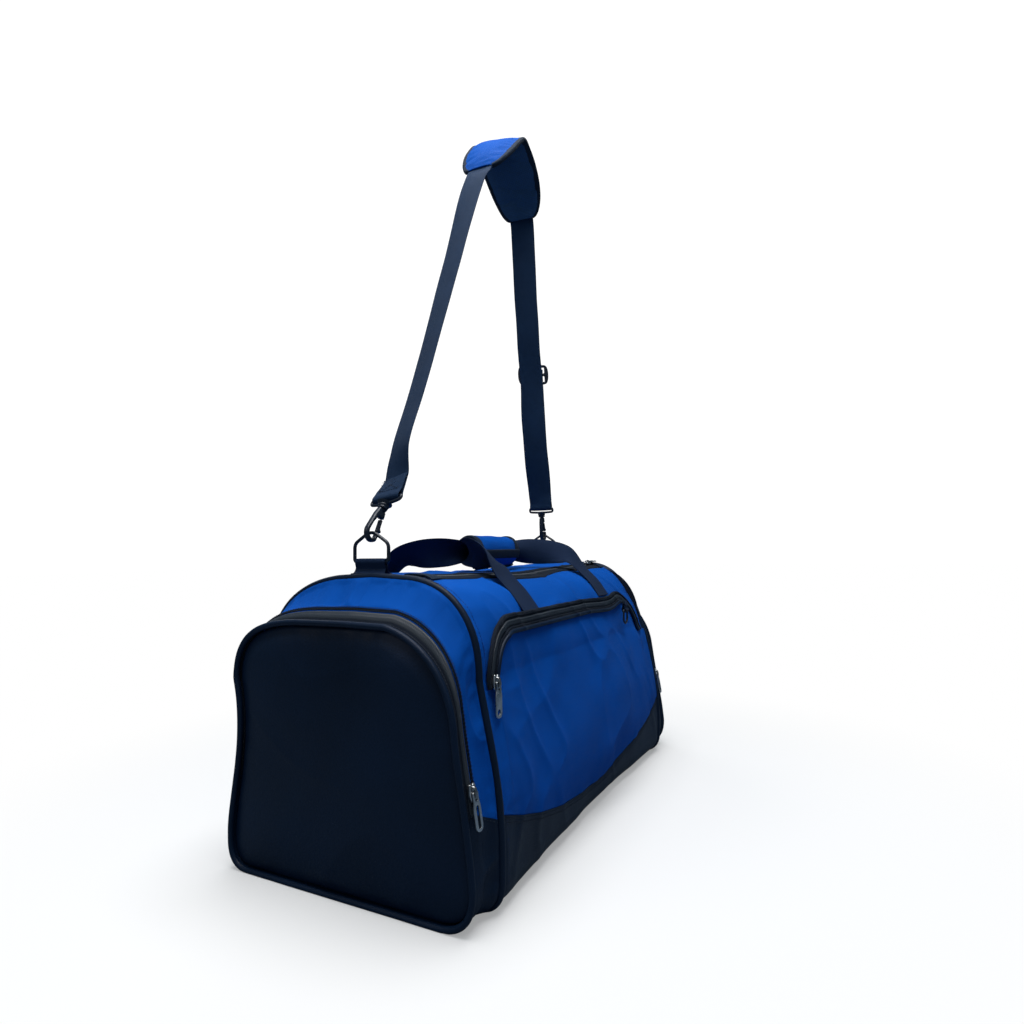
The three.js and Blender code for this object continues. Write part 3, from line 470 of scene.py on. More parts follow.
body_outline = Outline(
    half_outline(-1, 0.145, 0.030, [(0.148, 0.110), (0.134, 0.152)], (0.1235, 0.205),
                 [(0.125, 0.256), (0.097, 0.296)],
                 (0.045, BODY_TOP - 0.0025), BODY_TOP),
    half_outline(1, 0.150, 0.030, [(0.150, 0.095), (0.142, 0.145)], (0.142, 0.205),
                 [(0.144, 0.256), (0.112, 0.292)],
                 (0.045, BODY_TOP - 0.0025), BODY_TOP))
pocket_outline = Outline(
    half_outline(-1, 0.141, 0.038, [(0.138, 0.080), (0.128, 0.125)], (0.124, 0.165),
                 [(0.121, 0.215), (0.088, 0.248)],
                 (0.048, POCKET_TOP - 0.001), POCKET_TOP),
    half_outline(1, 0.155, 0.030, [(0.157, 0.070), (0.131, 0.128)], (0.149, 0.195),
                 [(0.149, 0.237), (0.125, 0.256)],
                 (0.060, POCKET_TOP - 0.0005), POCKET_TOP))


def slump(x, w):
    """The far end's shoulder sinks, and the base's front edge rounds in between the two ends."""
    w = (np.asarray(w, float) + 1) % 2 - 1
    x = np.asarray(x, float)
    far = 0.013 * smooth((x - 0.06) / 0.20) * bump(w, body_outline.front_at_height(0.262), 0.17)
    waist = np.cos(math.pi * np.clip(x / (2 * HALF_BODY), -0.5, 0.5)) ** 1.4
    return -far - 0.0065 * waist * bump(w, body_outline.front_at_height(0.016), 0.13) * (w < 0)


def slack(x, w):
    """How far the filled bag's cloth stands off its pattern: folds, sags and puckers at the end seams."""
    w = (np.asarray(w, float) + 1) % 2 - 1
    around = w * body_outline.length / 2
    from_end = HALF_BODY - np.abs(x)
    free = smooth(from_end / 0.03) * smooth((np.abs(w) - 0.22) / 0.12)
    soft = 0.0021 * noise(x / 0.075, around / 0.06, 3) + 0.0009 * noise(x / 0.03, around / 0.035, 4)
    folds = 0.0024 * (creases(x, around, 62, 0.11, 0.045, 5) - 0.45)
    top = smooth((np.abs(w) - 0.80) / 0.08)
    sag = -0.0035 * top * np.cos(math.pi * np.asarray(x) / (2 * HALF_BODY)) ** 2
    pucker = (0.0013 * noise(around / 0.013, x * 0 + 2, 6) * np.exp(-from_end / 0.022)
              * smooth(from_end / 0.006))
    calm = 1 - bump(x, -0.247, 0.045) * bump(w, body_outline.front_at_height(0.19), 0.16)
    calm = calm * (1 - 0.85 * bump(w, body_outline.top_at_depth(TOP_ZIP_Y), 0.05))
    return (free * calm * (soft + folds) + sag
            + pucker * smooth((np.abs(w) - 0.22) / 0.1) * calm + slump(x, w))


def on_body(x, w, lift=0.0):
    x, w = np.broadcast_arrays(np.asarray(x, float), np.asarray(w, float))
    y, z = body_outline.at(w, lift + slack(x, w))
    return np.stack([x, y, z], -1)


def on_front(x, z, lift=0.0):
    return on_body(x, body_outline.front_at_height(z), lift)


def on_gusset(end, t, w, lift=0.0):
    """The end pocket's side wall. t is 0 at the main body and 1 at the end panel."""
    t, w = np.broadcast_arrays(np.asarray(t, float), np.asarray(w, float))
    inner_y, inner_z = body_outline.at(w, -0.002)
    outer_y, outer_z = pocket_outline.at(w, -0.002)
    around = ((w + 1) % 2 - 1) * pocket_outline.length / 2
    free = smooth(t / 0.1) * smooth((GUSSET_SPLIT - t) / 0.12)
    wave = 0.0022 * (creases(t * 0.04, around, 8, 0.05, 0.05, 11 + int(end > 0)) - 0.5)
    wave = wave + 0.0016 * noise(around / 0.018, t * 1.2, 13)
    wave = wave - 0.0016 * np.sin(math.pi * np.clip(t / GUSSET_SPLIT, 0, 1))
    wave = wave + 0.0012 * noise(around / 0.008, t * 0.8 + 2, 14) * smooth(1 - t / 0.5)
    normal_y, normal_z = np.subtract(body_outline.at(w, 1), body_outline.at(w))
    away = lift + free * wave + slump(end * HALF_BODY, w) * (1 - 0.6 * t)
    return np.stack([end * lerp(GUSSET_START, GUSSET_END, t), lerp(inner_y, outer_y, t) + normal_y * away,
                     lerp(inner_z, outer_z, t) + normal_z * away], -1)


def seam_height(x):
    return SEAM_MIDDLE + SEAM_RISE * (np.asarray(x) / HALF_BODY) ** 2


# Materials

class Surface:
    """A Principled material, with short calls that add nodes to it."""

    def __init__(self, name, color, roughness, specular=0.3, metallic=0.0):
        self.material = bpy.data.materials.new(name)
        self.material.use_nodes = True
        self.tree = self.material.node_tree
        self.shader = self.tree.nodes["Principled BSDF"]
        self.color = linear(color)
        self.set("Base Color", (*self.color, 1))
        self.set("Roughness", roughness)
        self.set("Specular IOR Level", specular)
        self.set("Metallic", metallic)
        self.place = self.node("ShaderNodeAttribute", "Vector", attribute_name="thread")
        self.where = self.node("ShaderNodeTexCoord", "Object")

    def set(self, name, value):
        if isinstance(value, bpy.types.NodeSocket):
            self.tree.links.new(value, self.shader.inputs[name])
        else:
            self.shader.inputs[name].default_value = value

    def node(self, kind, output=0, inputs=None, **settings):
        made = self.tree.nodes.new(kind)
        for key, value in settings.items():
            setattr(made, key, value)
        for key, value in (inputs or {}).items():
            if isinstance(value, bpy.types.NodeSocket):
                self.tree.links.new(value, made.inputs[key])
            else:
                made.inputs[key].default_value = value
        return made.outputs[output]

    def maths(self, operation, a, b=0.0):
        return self.node("ShaderNodeMath", inputs={0: a, 1: b}, operation=operation)

    def plus(self, a, b):
        return self.maths("ADD", a, b)

    def times(self, a, b):
        return self.maths("MULTIPLY", a, b)

    def scaled(self, vector, scale):
        return self.node("ShaderNodeVectorMath", inputs={0: vector, 1: scale}, operation="MULTIPLY")

    def split(self, vector):
        made = self.tree.nodes.new("ShaderNodeSeparateXYZ")
        self.tree.links.new(vector, made.inputs[0])
        return made.outputs

    def cloud(self, vector, scale, detail=3.0):
        return self.node("ShaderNodeTexNoise", "Fac", {"Vector": vector, "Scale": scale, "Detail": detail})

    def spread(self, value, low, high):
        return self.node("ShaderNodeMapRange", inputs={0: value, 1: 0.3, 2: 0.7, 3: low, 4: high})

    def tinted(self, value, dark, light):
        """The colour, made darker or lighter by a value from 0 to 1."""
        shades = [tuple(min(c * k, 1) for c in self.color) + (1,) for k in (dark, light)]
        color = self.node("ShaderNodeMix", 2, {0: value, 6: shades[0], 7: shades[1]}, data_type="RGBA")
        self.set("Base Color", color)

    def raised(self, height, distance, strength=1.0):
        inputs = {"Height": height, "Distance": distance, "Strength": strength}
        self.set("Normal", self.node("ShaderNodeBump", 0, inputs))


def linear(color):
    """A colour given as 0 to 255 in sRGB, as linear light."""
    return tuple(((c / 255 + 0.055) / 1.055) ** 2.4 if c > 10 else c / 255 / 12.92 for c in color)


def polyester(name, color):
    """Plain-woven polyester: crossed threads, faint streaks and a little sheen."""
    look = Surface(name, color, 0.7, specular=0.03)
    x, y, _ = look.split(look.place)
    thread = 2 * math.pi / 0.0011
    warp = look.maths("SINE", look.times(x, thread))
    weft = look.maths("SINE", look.times(y, thread))
    weave = look.times(warp, weft)
    cloud = look.cloud(look.where, 9)
    streak = look.cloud(look.scaled(look.place, (40, 900, 1)), 1.0, 1.0)
    height = look.plus(look.times(weave, 0.5), look.times(streak, 0.6))
    mixed = look.plus(look.times(cloud, 0.75), look.times(streak, 0.25))
    look.tinted(look.plus(look.spread(mixed, 0.1, 0.9), look.times(weave, 0.12)), 0.86, 1.14)
    look.raised(height, 0.00022, 0.8)
    look.set("Roughness", look.spread(streak, 0.56, 0.7))
    look.set("Sheen Weight", 0.05)
    look.set("Sheen Roughness", 0.4)
    look.set("Sheen Tint", (0.3, 0.5, 1, 1))
    return look.material


def leatherette(name, color):
    """Coated leatherette: fine pebble grain, soft wrinkles and paler rubbed places."""
    look = Surface(name, color, 0.45, specular=0.18)
    grain = look.node("ShaderNodeTexVoronoi", "Distance", {"Vector": look.where, "Scale": 620.0},
                      feature="F1")
    fine = look.cloud(look.where, 260, 4)
    cloud = look.cloud(look.where, 7, 4)
    height = look.plus(look.times(grain, 0.55), look.times(fine, 0.6))
    look.tinted(look.spread(cloud, 0, 1), 0.72, 1.35)
    look.raised(height, 0.00025, 0.75)
    look.set("Roughness", look.plus(look.spread(cloud, 0.36, 0.5), look.times(fine, 0.08)))
    return look.material


def ribbed(name, color, pitch=0.0016, roughness=0.75):
    """Woven narrow fabric: ribs across it, chevrons of thread and fuzzy colour."""
    look = Surface(name, color, roughness, specular=0.10)
    x, y, _ = look.split(look.place)
    slant = look.times(look.maths("ABSOLUTE", y), 0.9)
    rib = look.maths("SINE", look.times(look.plus(x, slant), 2 * math.pi / pitch))
    line = look.maths("SINE", look.times(y, 2 * math.pi / (pitch * 0.8)))
    fuzz = look.cloud(look.where, 420, 2)
    cloud = look.cloud(look.where, 22)
    height = look.plus(look.times(rib, 0.5), look.times(line, 0.3))
    height = look.plus(height, look.times(fuzz, 0.5))
    shade = look.plus(look.spread(cloud, 0.2, 0.8), look.times(rib, 0.14))
    look.tinted(shade, 0.86, 1.16)
    look.raised(height, 0.0002, 0.6)
    look.set("Sheen Weight", 0.03)
    return look.material


def moulded(name, color, roughness=0.36):
    """Moulded plastic: a fine spark texture and paler scuffed edges."""
    look = Surface(name, color, roughness, specular=0.42)
    spark = look.cloud(look.where, 900, 2)
    cloud = look.cloud(look.where, 60)
    edge = look.node("ShaderNodeNewGeometry", "Pointiness")
    worn = look.times(look.node("ShaderNodeMapRange", inputs={0: edge, 1: 0.52, 2: 0.62}), cloud)
    look.tinted(worn, 1.0, 2.2)
    look.raised(spark, 0.00008, 0.6)
    look.set("Roughness", look.spread(cloud, roughness - 0.06, roughness + 0.1))
    return look.material


def plated(name, color):
    """Nickel-plated die casting: fine scratches, dull patches, painted shade in the recesses and painted
    highlights on raised edges.
    """
    look = Surface(name, color, 0.3, specular=0.5, metallic=1.0)
    scratch = look.cloud(look.scaled(look.where, (300, 2200, 900)), 1.0, 2)
    cloud = look.cloud(look.where, 160)
    edge = look.node("ShaderNodeNewGeometry", "Pointiness")
    # Painted shade darkens the colour in recesses and a painted highlight lightens it on raised edges, both
    # read from pointiness.
    look.tinted(look.node("ShaderNodeMapRange", inputs={0: edge, 1: 0.44, 2: 0.56}), 0.45, 1.15)
    look.raised(scratch, 0.00005, 0.5)
    look.set("Roughness", look.spread(cloud, 0.22, 0.42))
    return look.material


def spacer_mesh(name, color):
    """Knitted spacer fabric: rows of small holes."""
    look = Surface(name, color, 0.85, specular=0.15)
    cells = look.node("ShaderNodeTexVoronoi", "Distance",
                      {"Vector": look.place, "Scale": 380.0, "Randomness": 0.15})
    fuzz = look.cloud(look.where, 500, 2)
    look.tinted(look.times(cells, 1.6), 0.75, 1.15)
    look.raised(look.plus(cells, look.times(fuzz, 0.3)), 0.0004, 0.6)
    look.set("Sheen Weight", 0.04)
    return look.material


def spun_thread(name, color):
    """Twisted sewing thread."""
    look = Surface(name, color, 0.6, specular=0.25)
    twist = look.node("ShaderNodeTexWave", "Fac", {"Vector": look.where, "Scale": 900.0})
    look.tinted(twist, 0.8, 1.2)
    look.raised(twist, 0.0001)
    return look.material


def stiff_board(name, color):
    """Pressed board inside the base: flecked and dull."""
    look = Surface(name, color, 0.8)
    fleck = look.cloud(look.where, 140, 6)
    look.tinted(look.spread(fleck, 0, 1), 0.7, 1.2)
    look.raised(fleck, 0.0003)
    return look.material


blue = polyester("blue_polyester", (6, 79, 170))
black_coated = leatherette("black_leatherette", (5, 24, 46))
strap_weave = ribbed("strap_webbing_weave", (22, 46, 75))
handle_weave = ribbed("handle_webbing_weave", (15, 34, 62))
binding_weave = ribbed("binding_grosgrain", (24, 38, 56), pitch=0.0011)
tape_weave = ribbed("zip_tape_weave", (16, 25, 38), pitch=0.0009)
coil_nylon = moulded("zip_coil_nylon", (36, 44, 54), 0.4)
black_plastic = moulded("black_plastic", (17, 27, 42))
silver = plated("zip_metal", (176, 178, 180))
pad_mesh = spacer_mesh("pad_spacer_mesh", (42, 74, 112))
lining_cloth = polyester("lining_cloth", (30, 36, 46))
board_look = stiff_board("base_board", (70, 66, 60))
black_thread = spun_thread("black_thread", (26, 36, 52))
blue_thread = spun_thread("blue_thread", (22, 62, 140))


# Stitches: every seam's thread, gathered by body and colour

THREAD_RADIUS = 0.00034
BODY_SEAM = ("root", "black")
seams = {}


def sew(key, place, start, end, across, pitch=0.0034, lift=0.0003):
    """A row of stitches on a surface. place(along, across, lift) gives its points."""
    count = max(int((end - start) / pitch), 1)
    along = start + (np.arange(count) + 0.5) * (end - start) / count
    across = np.broadcast_to(across, count)
    half = pitch * 0.34
    a, b = place(along - half, across, lift), place(along + half, across, lift)
    up = unit(place(along, across, lift + 0.001) - place(along, across, lift))
    seams.setdefault(key, []).extend(zip(a, b, up, np.cross(unit(b - a), up)))


def sew_box(key, place, low, high, side_low, side_high):
    """A box of stitches with a cross in it."""
    for edge in (side_low, side_high):
        sew(key, place, low, high, edge)
    turned = lambda along, across, lift: place(across, along, lift)
    for edge in (low, high):
        sew(key, turned, side_low, side_high, edge)
    length = high - low
    for flip in (1, -1):
        rise = (side_high - side_low) * flip
        first = side_low if flip > 0 else side_high
        slanted = lambda along, across, lift: place(along, first + rise * (along - low) / length, lift)
        sew(key, slanted, low, high, 0)


def stitch_shape(rows):
    points, faces = [], []
    for start, end, up, side in rows:
        k = len(points)
        for centre in (lerp(start, end, 0.15), lerp(start, end, 0.85)):
            for c, s in ((1, 0), (0, 1), (-1, 0), (0, -1)):
                points.append(centre + THREAD_RADIUS * (c * side + s * up))
        points += [start - THREAD_RADIUS * up * 0.8, end - THREAD_RADIUS * up * 0.8]
        for j in range(4):
            n = (j + 1) % 4
            faces.append((k + j, k + 4 + j, k + 4 + n, k + n))
            faces.append((k + 8, k + j, k + n))
            faces.append((k + 9, k + 4 + n, k + 4 + j))
    return Shape(points, faces)


def add_stitching():
    for (body, colour), rows in seams.items():
        look = {"black": black_thread, "blue": blue_thread}[colour]
        add(f"{body}_{colour}_stitching", stitch_shape(rows), look, "webbing", body)


# Main compartment

def body_panel(name, edge_a, edge_b, rows, columns, material, slot, lift=0.0, floor=False):
    overlap = 0.004
    x = np.linspace(-HALF_BODY - overlap, HALF_BODY + overlap, rows)[:, None]
    share = np.linspace(0, 1, columns)[None]
    w = lerp(edge_a(x), edge_b(x), share)
    tuck = -0.002 * smooth((np.abs(x) - HALF_BODY + 0.004) / 0.008)
    outer = on_body(x, w, lift + tuck)
    inner = on_body(x, w, lift + tuck - CLOTH)
    if floor:
        outer[..., 2] = np.maximum(outer[..., 2], 0)
        inner[..., 2] = np.maximum(inner[..., 2], CLOTH)
    return add(name, cloth_sheet(outer, inner), material, slot, "root", (name.removeprefix("cloth_"),))


def zip_sway(x):
    """How far the limp top zip wanders forward between its ends."""
    return (-0.013 * bump(x, -0.03, 0.25)
            + 0.003 * np.sin(2 * math.pi * np.asarray(x) / 0.20) * bump(x, 0, 0.21))


def add_main_compartment():
    under_zip = 0.003
    zip_front = lambda x: body_outline.top_at_depth(TOP_ZIP_Y + zip_sway(x) - TOP_ZIP_HALF + under_zip)
    zip_back = lambda x: body_outline.top_at_depth(TOP_ZIP_Y + zip_sway(x) + TOP_ZIP_HALF - under_zip)
    seam_front = lambda x: body_outline.front_at_height(seam_height(x))
    seam_back = lambda x: body_outline.back_at_height(seam_height(x))
    tuck = 0.006
    body_panel("cloth_front_panel", lambda x: seam_front(x) + tuck, zip_front, 170, 110, blue,
               "blue_polyester")
    body_panel("cloth_back_panel", lambda x: seam_back(x) - tuck, lambda x: 2 + zip_back(x), 170, 130, blue,
               "blue_polyester")
    body_panel("cloth_base_panel", seam_front, seam_back, 140, 110, black_coated, "black_leatherette",
               0.0006, floor=True)
    for seam, side in ((seam_front, -1), (seam_back, 1)):
        along_seam = lambda p, q, lift: on_body(p, seam(p) - side * q / body_outline.length * 2,
                                                lift + 0.0008)
        for across in (0.0025, 0.0065):
            sew(BODY_SEAM, along_seam, -HALF_BODY, HALF_BODY, across)
    for name, end in (("near", -1), ("far", 1)):
        add_piping(f"{name}_piping", body_outline, end * MAIN_PIPING_X, 1.28 * PIPING_RADIUS)
        add_end_wall(name, end)
        beside = lambda p, q, lift: on_body(end * (HALF_BODY - q), p, lift)
        for low, high in ((-0.97, -0.30), (0.30, 0.97)):
            sew_round(("root", "blue"), beside, low, high, 0.0075)


def sew_round(key, place, low, high, across):
    """Stitches along the outline, where the distance round it is w times half its length."""
    scale = body_outline.length / 2
    in_metres = lambda p, q, lift: place(p / scale, q, lift)
    sew(key, in_metres, low * scale, high * scale, across)


def add_piping(name, outline, x, radius):
    count = 360
    w = np.linspace(-1, 1, count, endpoint=False)
    y, z = outline.at(w, -0.35 * radius + slump(x, w) * (1.0 if outline is body_outline else 0.4))
    around = w * outline.length / 2
    wander = 0.0005 * noise(around / 0.05, 0 * w, 21) * np.sin(math.pi * w) ** 2
    line = np.stack([x + wander, y, z], -1)
    swell = radius * (1 + 0.05 * noise(around / 0.02, 0 * w + 3, 22) * np.sin(math.pi * w) ** 2)
    shape = cord(line, swell, closed=True, sides=14)
    shape.points[:, 2] = np.maximum(shape.points[:, 2], 0)
    flange = cord(line - np.array([math.copysign(radius * 0.9, x), 0, 0]), radius * 0.5, closed=True,
                  sides=8)
    flange.points[:, 2] = np.maximum(flange.points[:, 2], 0.0008)
    add(f"cord_{name}", merged(shape, flange), black_coated, "black_leatherette", "root", (name,))


def disc_sheet(outline, x_of, lift, thickness, rings, segments):
    """A closed sheet that fills an outline, as rings of points round its middle. x_of gives its X."""
    w = np.linspace(-1, 1, segments, endpoint=False)
    y, z = outline.at(w, lift)
    middle = (z.max() + z.min()) / 2
    share = (np.arange(1, rings + 1) / rings)[:, None]
    ring_y, ring_z = lerp(0.0, y[None], share), lerp(middle, z[None], share)
    outer = np.stack([x_of(ring_y, ring_z, share), ring_y, ring_z], -1)
    centre = np.array([x_of(np.zeros(1), np.array([middle]), 0)[0], 0.0, middle])
    behind = np.array([thickness, 0, 0])
    count = rings * segments
    faces = grid_faces(rings, segments, wrap_columns=True)
    faces += [tuple(reversed(face)) for face in grid_faces(rings, segments, count, wrap_columns=True)]
    top, under = 2 * count, 2 * count + 1
    last = (rings - 1) * segments
    for k in range(segments):
        n = (k + 1) % segments
        faces.append((top, k, n))
        faces.append((under, count + n, count + k))
        faces.append((last + k, last + k + count, last + n + count, last + n))
    points = np.vstack([outer.reshape(-1, 3), (outer + behind).reshape(-1, 3), centre, centre + behind])
    if thickness > 0:
        faces = [tuple(reversed(face)) for face in faces]
    return Shape(points, faces, points[:, [1, 2, 0]])


def add_end_wall(name, end):
    inset = 0.0045

    def wall(y, z, share):
        depth = 0.001 + 0.003 * (1 - np.asarray(share) ** 2)
        return end * (HALF_BODY - depth) + 0.001 * noise(y / 0.05, z / 0.05, 31)

    shape = disc_sheet(body_outline, wall, -inset, -end * 0.001, rings=16, segments=120)
    add(f"cloth_{name}_end_wall", shape, lining_cloth, "lining", "root", (f"{name}_end_wall",))


# Zips: a tape with folded covers, a moulded coil and its stitches

def zip_rows(low, high, slider):
    """Distances across one half of a zip and the lift of its surface at each."""
    small = min(1.0, (high - slider) / 0.0058)
    beside_slider = ((0.0007, 0.0016), (0.0016, 0.0013), (0.0024, 0.0011), (0.0034, 0.0016))
    return np.array([
        [low, 0.0], [slider - 0.0006, 0.0001], [slider - 0.0003, 0.0002], [slider, 0.0011],
        *([slider + away * small, lift] for away, lift in beside_slider),
        [lerp(slider, high, 0.75), 0.0017], [high - 0.0008 * small, 0.0013], [high, 0.0006],
        [high + 0.0006, -0.0012],
    ])


def zip_half(place, length, side, low, high, slider, base):
    rows = zip_rows(low, high, slider)
    count = int(length / 0.0035)
    along = np.linspace(0, length, count)[:, None]
    ripple = (0.0004 * noise(along / 0.02, rows[None, :, 0] / 0.01, 41)
              * smooth((rows[None, :, 0] - slider) / 0.003))
    across = side * rows[None, :, 0]
    shape = cloth_sheet(place(along, across, base + rows[None, :, 1] + ripple),
                        place(along, across, base - 0.0012))
    return flipped(shape) if side > 0 else shape


def zip_coil(place, length, base):
    """Two rows of interlocked coil along the middle of a zip."""
    count = int(length / (ZIP_PITCH / 4))
    along = np.linspace(0, length, count)[:, None]
    across = np.linspace(-1, 1, 9)[None]
    half = 0.0027
    phase = 2 * math.pi * along / ZIP_PITCH
    tooth = 0.00034 * np.sin(phase + math.pi / 2 * np.sign(across) * smooth(np.abs(across) * 3))
    lift = base + 0.0013 * np.sqrt(np.clip(1 - across ** 2, 0, 1)) + tooth * (1 - across ** 4)
    lift = lift - 0.0003 * np.exp(-(across / 0.12) ** 2)
    return flipped(cloth_sheet(place(along, half * across, lift),
                               place(along, half * across, base - 0.0006)))


def add_zip(tapes, coil, place, length, low_half, high_half, base, slider=0.0062, flip=False):
    """tapes names one piece for both sides of the coil, or one for each."""
    halves = ((-1, low_half), (1, high_half))
    sides = [zip_half(place, length, side, 0.0022, half, slider, base) for side, half in halves]
    rows = zip_coil(place, length, base)
    if flip:
        sides, rows = [flipped(side) for side in sides], flipped(rows)
    for side, half in halves:
        sew(BODY_SEAM, place, 0.002, length - 0.002, side * (slider + 0.0021), lift=base + 0.0012)
        sew(BODY_SEAM, place, 0.002, length - 0.002, side * (half - 0.0018), lift=base + 0.0015)
    for tape, shape in zip(tapes, sides if len(tapes) > 1 else [merged(*sides)]):
        add(tape, shape, tape_weave, "zip_tape", "root", (tape.removeprefix("cloth_"),))
    add(coil, rows, coil_nylon, "zip_tape", "root")


def top_zip_place(p, q, lift):
    x = p - TOP_ZIP_HALF_LENGTH
    return on_body(x, body_outline.top_at_depth(TOP_ZIP_Y + q + zip_sway(x)), lift)


def side_zip_path():
    near, far = SIDE_ZIP_NEAR + SIDE_ZIP_BEND, SIDE_ZIP_FAR - SIDE_ZIP_BEND
    height = SIDE_ZIP_TOP - SIDE_ZIP_BEND
    x = np.linspace(near, far, 200)
    dip = -0.003 * bump(x, far - 0.085, 0.075) + 0.004 * bump(x, far + 0.004, 0.06)
    top = np.stack([x, SIDE_ZIP_TOP + dip * smooth((x - near) / 0.1)], 1)
    first = np.array(arc((near, height), SIDE_ZIP_BEND, 180, 90, 60))
    last = np.array(arc((far, height), SIDE_ZIP_BEND, 90, 0, 60))
    last[:, 1] += top[-1, 1] - last[0, 1]
    drop = smooth(np.linspace(0, 1, 60))[:, None]
    last = last - drop * np.array([0, top[-1, 1] - SIDE_ZIP_TOP])
    return evenly(np.vstack([first[:-1], top, last[1:]]), 900)


SIDE_ZIP_LINE = side_zip_path()
SIDE_ZIP_LENGTH = lengths_along(SIDE_ZIP_LINE)[-1]
SIDE_ZIP_DISTANCE = np.linspace(0, SIDE_ZIP_LENGTH, len(SIDE_ZIP_LINE))
SIDE_ZIP_HEADING = unit(np.gradient(SIDE_ZIP_LINE, axis=0))


def side_zip_place(p, q, lift):
    """q is positive on the outer side of the bend."""
    pick = lambda column: np.interp(p, SIDE_ZIP_DISTANCE, column)
    x = pick(SIDE_ZIP_LINE[:, 0]) - q * pick(SIDE_ZIP_HEADING[:, 1])
    z = pick(SIDE_ZIP_LINE[:, 1]) + q * pick(SIDE_ZIP_HEADING[:, 0])
    return on_front(x, z, lift)


def gusset_seam(side, t):
    """Where the blue gusset's lower edge is, front or back, at a share t of the way out."""
    inner = getattr(body_outline, f"{side}_at_height")(GUSSET_SEAM_INNER)
    return lerp(inner, getattr(pocket_outline, f"{side}_at_height")(GUSSET_SEAM_OUTER), t)


def gusset_zip_place(end):
    low = gusset_seam("front", GUSSET_SLIDER)
    high = gusset_seam("back", GUSSET_SLIDER) - 2
    scale = pocket_outline.length / 2
    depth = GUSSET_END - GUSSET_START

    def place(p, q, lift):
        """p runs from the front base seam up over the top to the back, q towards the end panel."""
        return on_gusset(end, GUSSET_SLIDER + q / depth, low - p / scale, lift)

    return place, (low - high) * scale


def add_top_zip():
    length = 2 * TOP_ZIP_HALF_LENGTH
    tapes = ("cloth_top_zip_tape_front", "cloth_top_zip_tape_back")
    add_zip(tapes, "top_zip_coil", top_zip_place, length, TOP_ZIP_HALF, TOP_ZIP_HALF, -0.0003)
    for name, start in (("near", -0.004), ("far", length - 0.012)):
        along = np.linspace(start, start + 0.016, 10)[:, None]
        across = np.linspace(-TOP_ZIP_HALF - 0.001, TOP_ZIP_HALF + 0.001, 16)[None]
        dome = 0.0034 - 0.0012 * (np.abs(across) / TOP_ZIP_HALF) ** 4
        tab = cloth_sheet(top_zip_place(along, across, dome), top_zip_place(along, across, dome - 0.0016))
        add(f"{name}_zip_end_tab", flipped(tab), binding_weave, "webbing", "root")
        box = lambda p, q, lift: top_zip_place(p, q, lift + 0.0024)
        for seam in (-TOP_ZIP_HALF + 0.003, TOP_ZIP_HALF - 0.003):
            sew(BODY_SEAM, box, start + 0.002, start + 0.014, seam)


# Long front pocket

def pocket_edge(x):
    """Height of the pocket panel's upper edge, just under the zip's lower half."""
    reach = SIDE_ZIP_HALF - 0.003
    line_x = SIDE_ZIP_LINE[:, 0] + reach * SIDE_ZIP_HEADING[:, 1]
    line_z = SIDE_ZIP_LINE[:, 1] - reach * SIDE_ZIP_HEADING[:, 0]
    return np.interp(x, np.maximum.accumulate(line_x), line_z)


def pocket_bulge(x, v):
    return POCKET_BULGE * np.sin(math.pi * v) * np.cos(math.pi * x / (2 * HALF_BODY))


def add_front_pocket():
    add_zip(("cloth_front_pocket_zip",), "front_pocket_zip_coil", side_zip_place, SIDE_ZIP_LENGTH,
            SIDE_ZIP_HALF, SIDE_ZIP_HALF, 0.0030, slider=0.0044, flip=True)
    near, far = SIDE_ZIP_NEAR + SIDE_ZIP_BEND, SIDE_ZIP_FAR - SIDE_ZIP_BEND
    radius = SIDE_ZIP_BEND - SIDE_ZIP_HALF + 0.003
    bend = np.cos(np.linspace(0, math.pi / 2, 26))
    x = np.concatenate([np.linspace(-HALF_BODY - 0.003, near - radius, 8)[:-1], near - radius * bend,
                        np.linspace(near, far, 110)[1:-1], far + radius * bend[::-1],
                        np.linspace(far + radius, HALF_BODY + 0.003, 8)[1:]])[:, None]
    v = np.linspace(0, 1, 84)[None]
    bottom = body_outline.front_at_height(seam_height(x) + 0.001)
    top = body_outline.front_at_height(pocket_edge(x))
    w = lerp(bottom, top, v)
    around = w * body_outline.length / 2
    loose = np.sin(math.pi * v) ** 0.6 * smooth((HALF_BODY - np.abs(x)) / 0.03)
    folds = (0.0018 * (creases(x, around, 78, 0.22, 0.11, 51) - 0.4)
             + 0.0022 * noise(x / 0.075, around / 0.14, 53))
    edge_pucker = 0.0010 * noise(x / 0.016, 0 * v + 1, 54) * np.exp(-v / 0.08)
    edge_pucker = edge_pucker + 0.0008 * noise(x / 0.02, 0 * v, 55) * np.exp(-(1 - v) / 0.1)
    corner = 0.0025 * creases(x, around, 35, 0.08, 0.03, 56) * bump(x, -0.205, 0.06) * bump(v, 0.72, 0.3)
    lift = 0.0008 + pocket_bulge(x, v) + loose * folds + edge_pucker + corner * loose
    outer, inner = on_body(x, w, lift), on_body(x, w, lift - CLOTH)
    add("cloth_front_pocket_panel", cloth_sheet(outer, inner), blue, "blue_polyester", "root",
        ("front_pocket_panel",))
    add_pocket_edging()


def add_pocket_edging():
    """A thin piping along the outer edge of the pocket's zip."""
    upper = side_zip_place(np.linspace(0, SIDE_ZIP_LENGTH, 260), -SIDE_ZIP_HALF - 0.0006, 0.0042)
    add("front_pocket_edging", cord(upper, 0.0024, across=(0, 1, 0), sides=10), black_coated,
        "black_leatherette", "root")


# End pockets

def gusset_sheet(end, t_low, t_high, w_low, w_high, columns, rows, lift):
    t = np.linspace(t_low, t_high, columns)[:, None]
    w = lerp(w_low(t), w_high(t), np.linspace(0, 1, rows)[None])
    outer, inner = on_gusset(end, t, w, lift), on_gusset(end, t, w, lift - CLOTH)
    shape = cloth_sheet(outer, inner)
    return flipped(shape) if end < 0 else shape


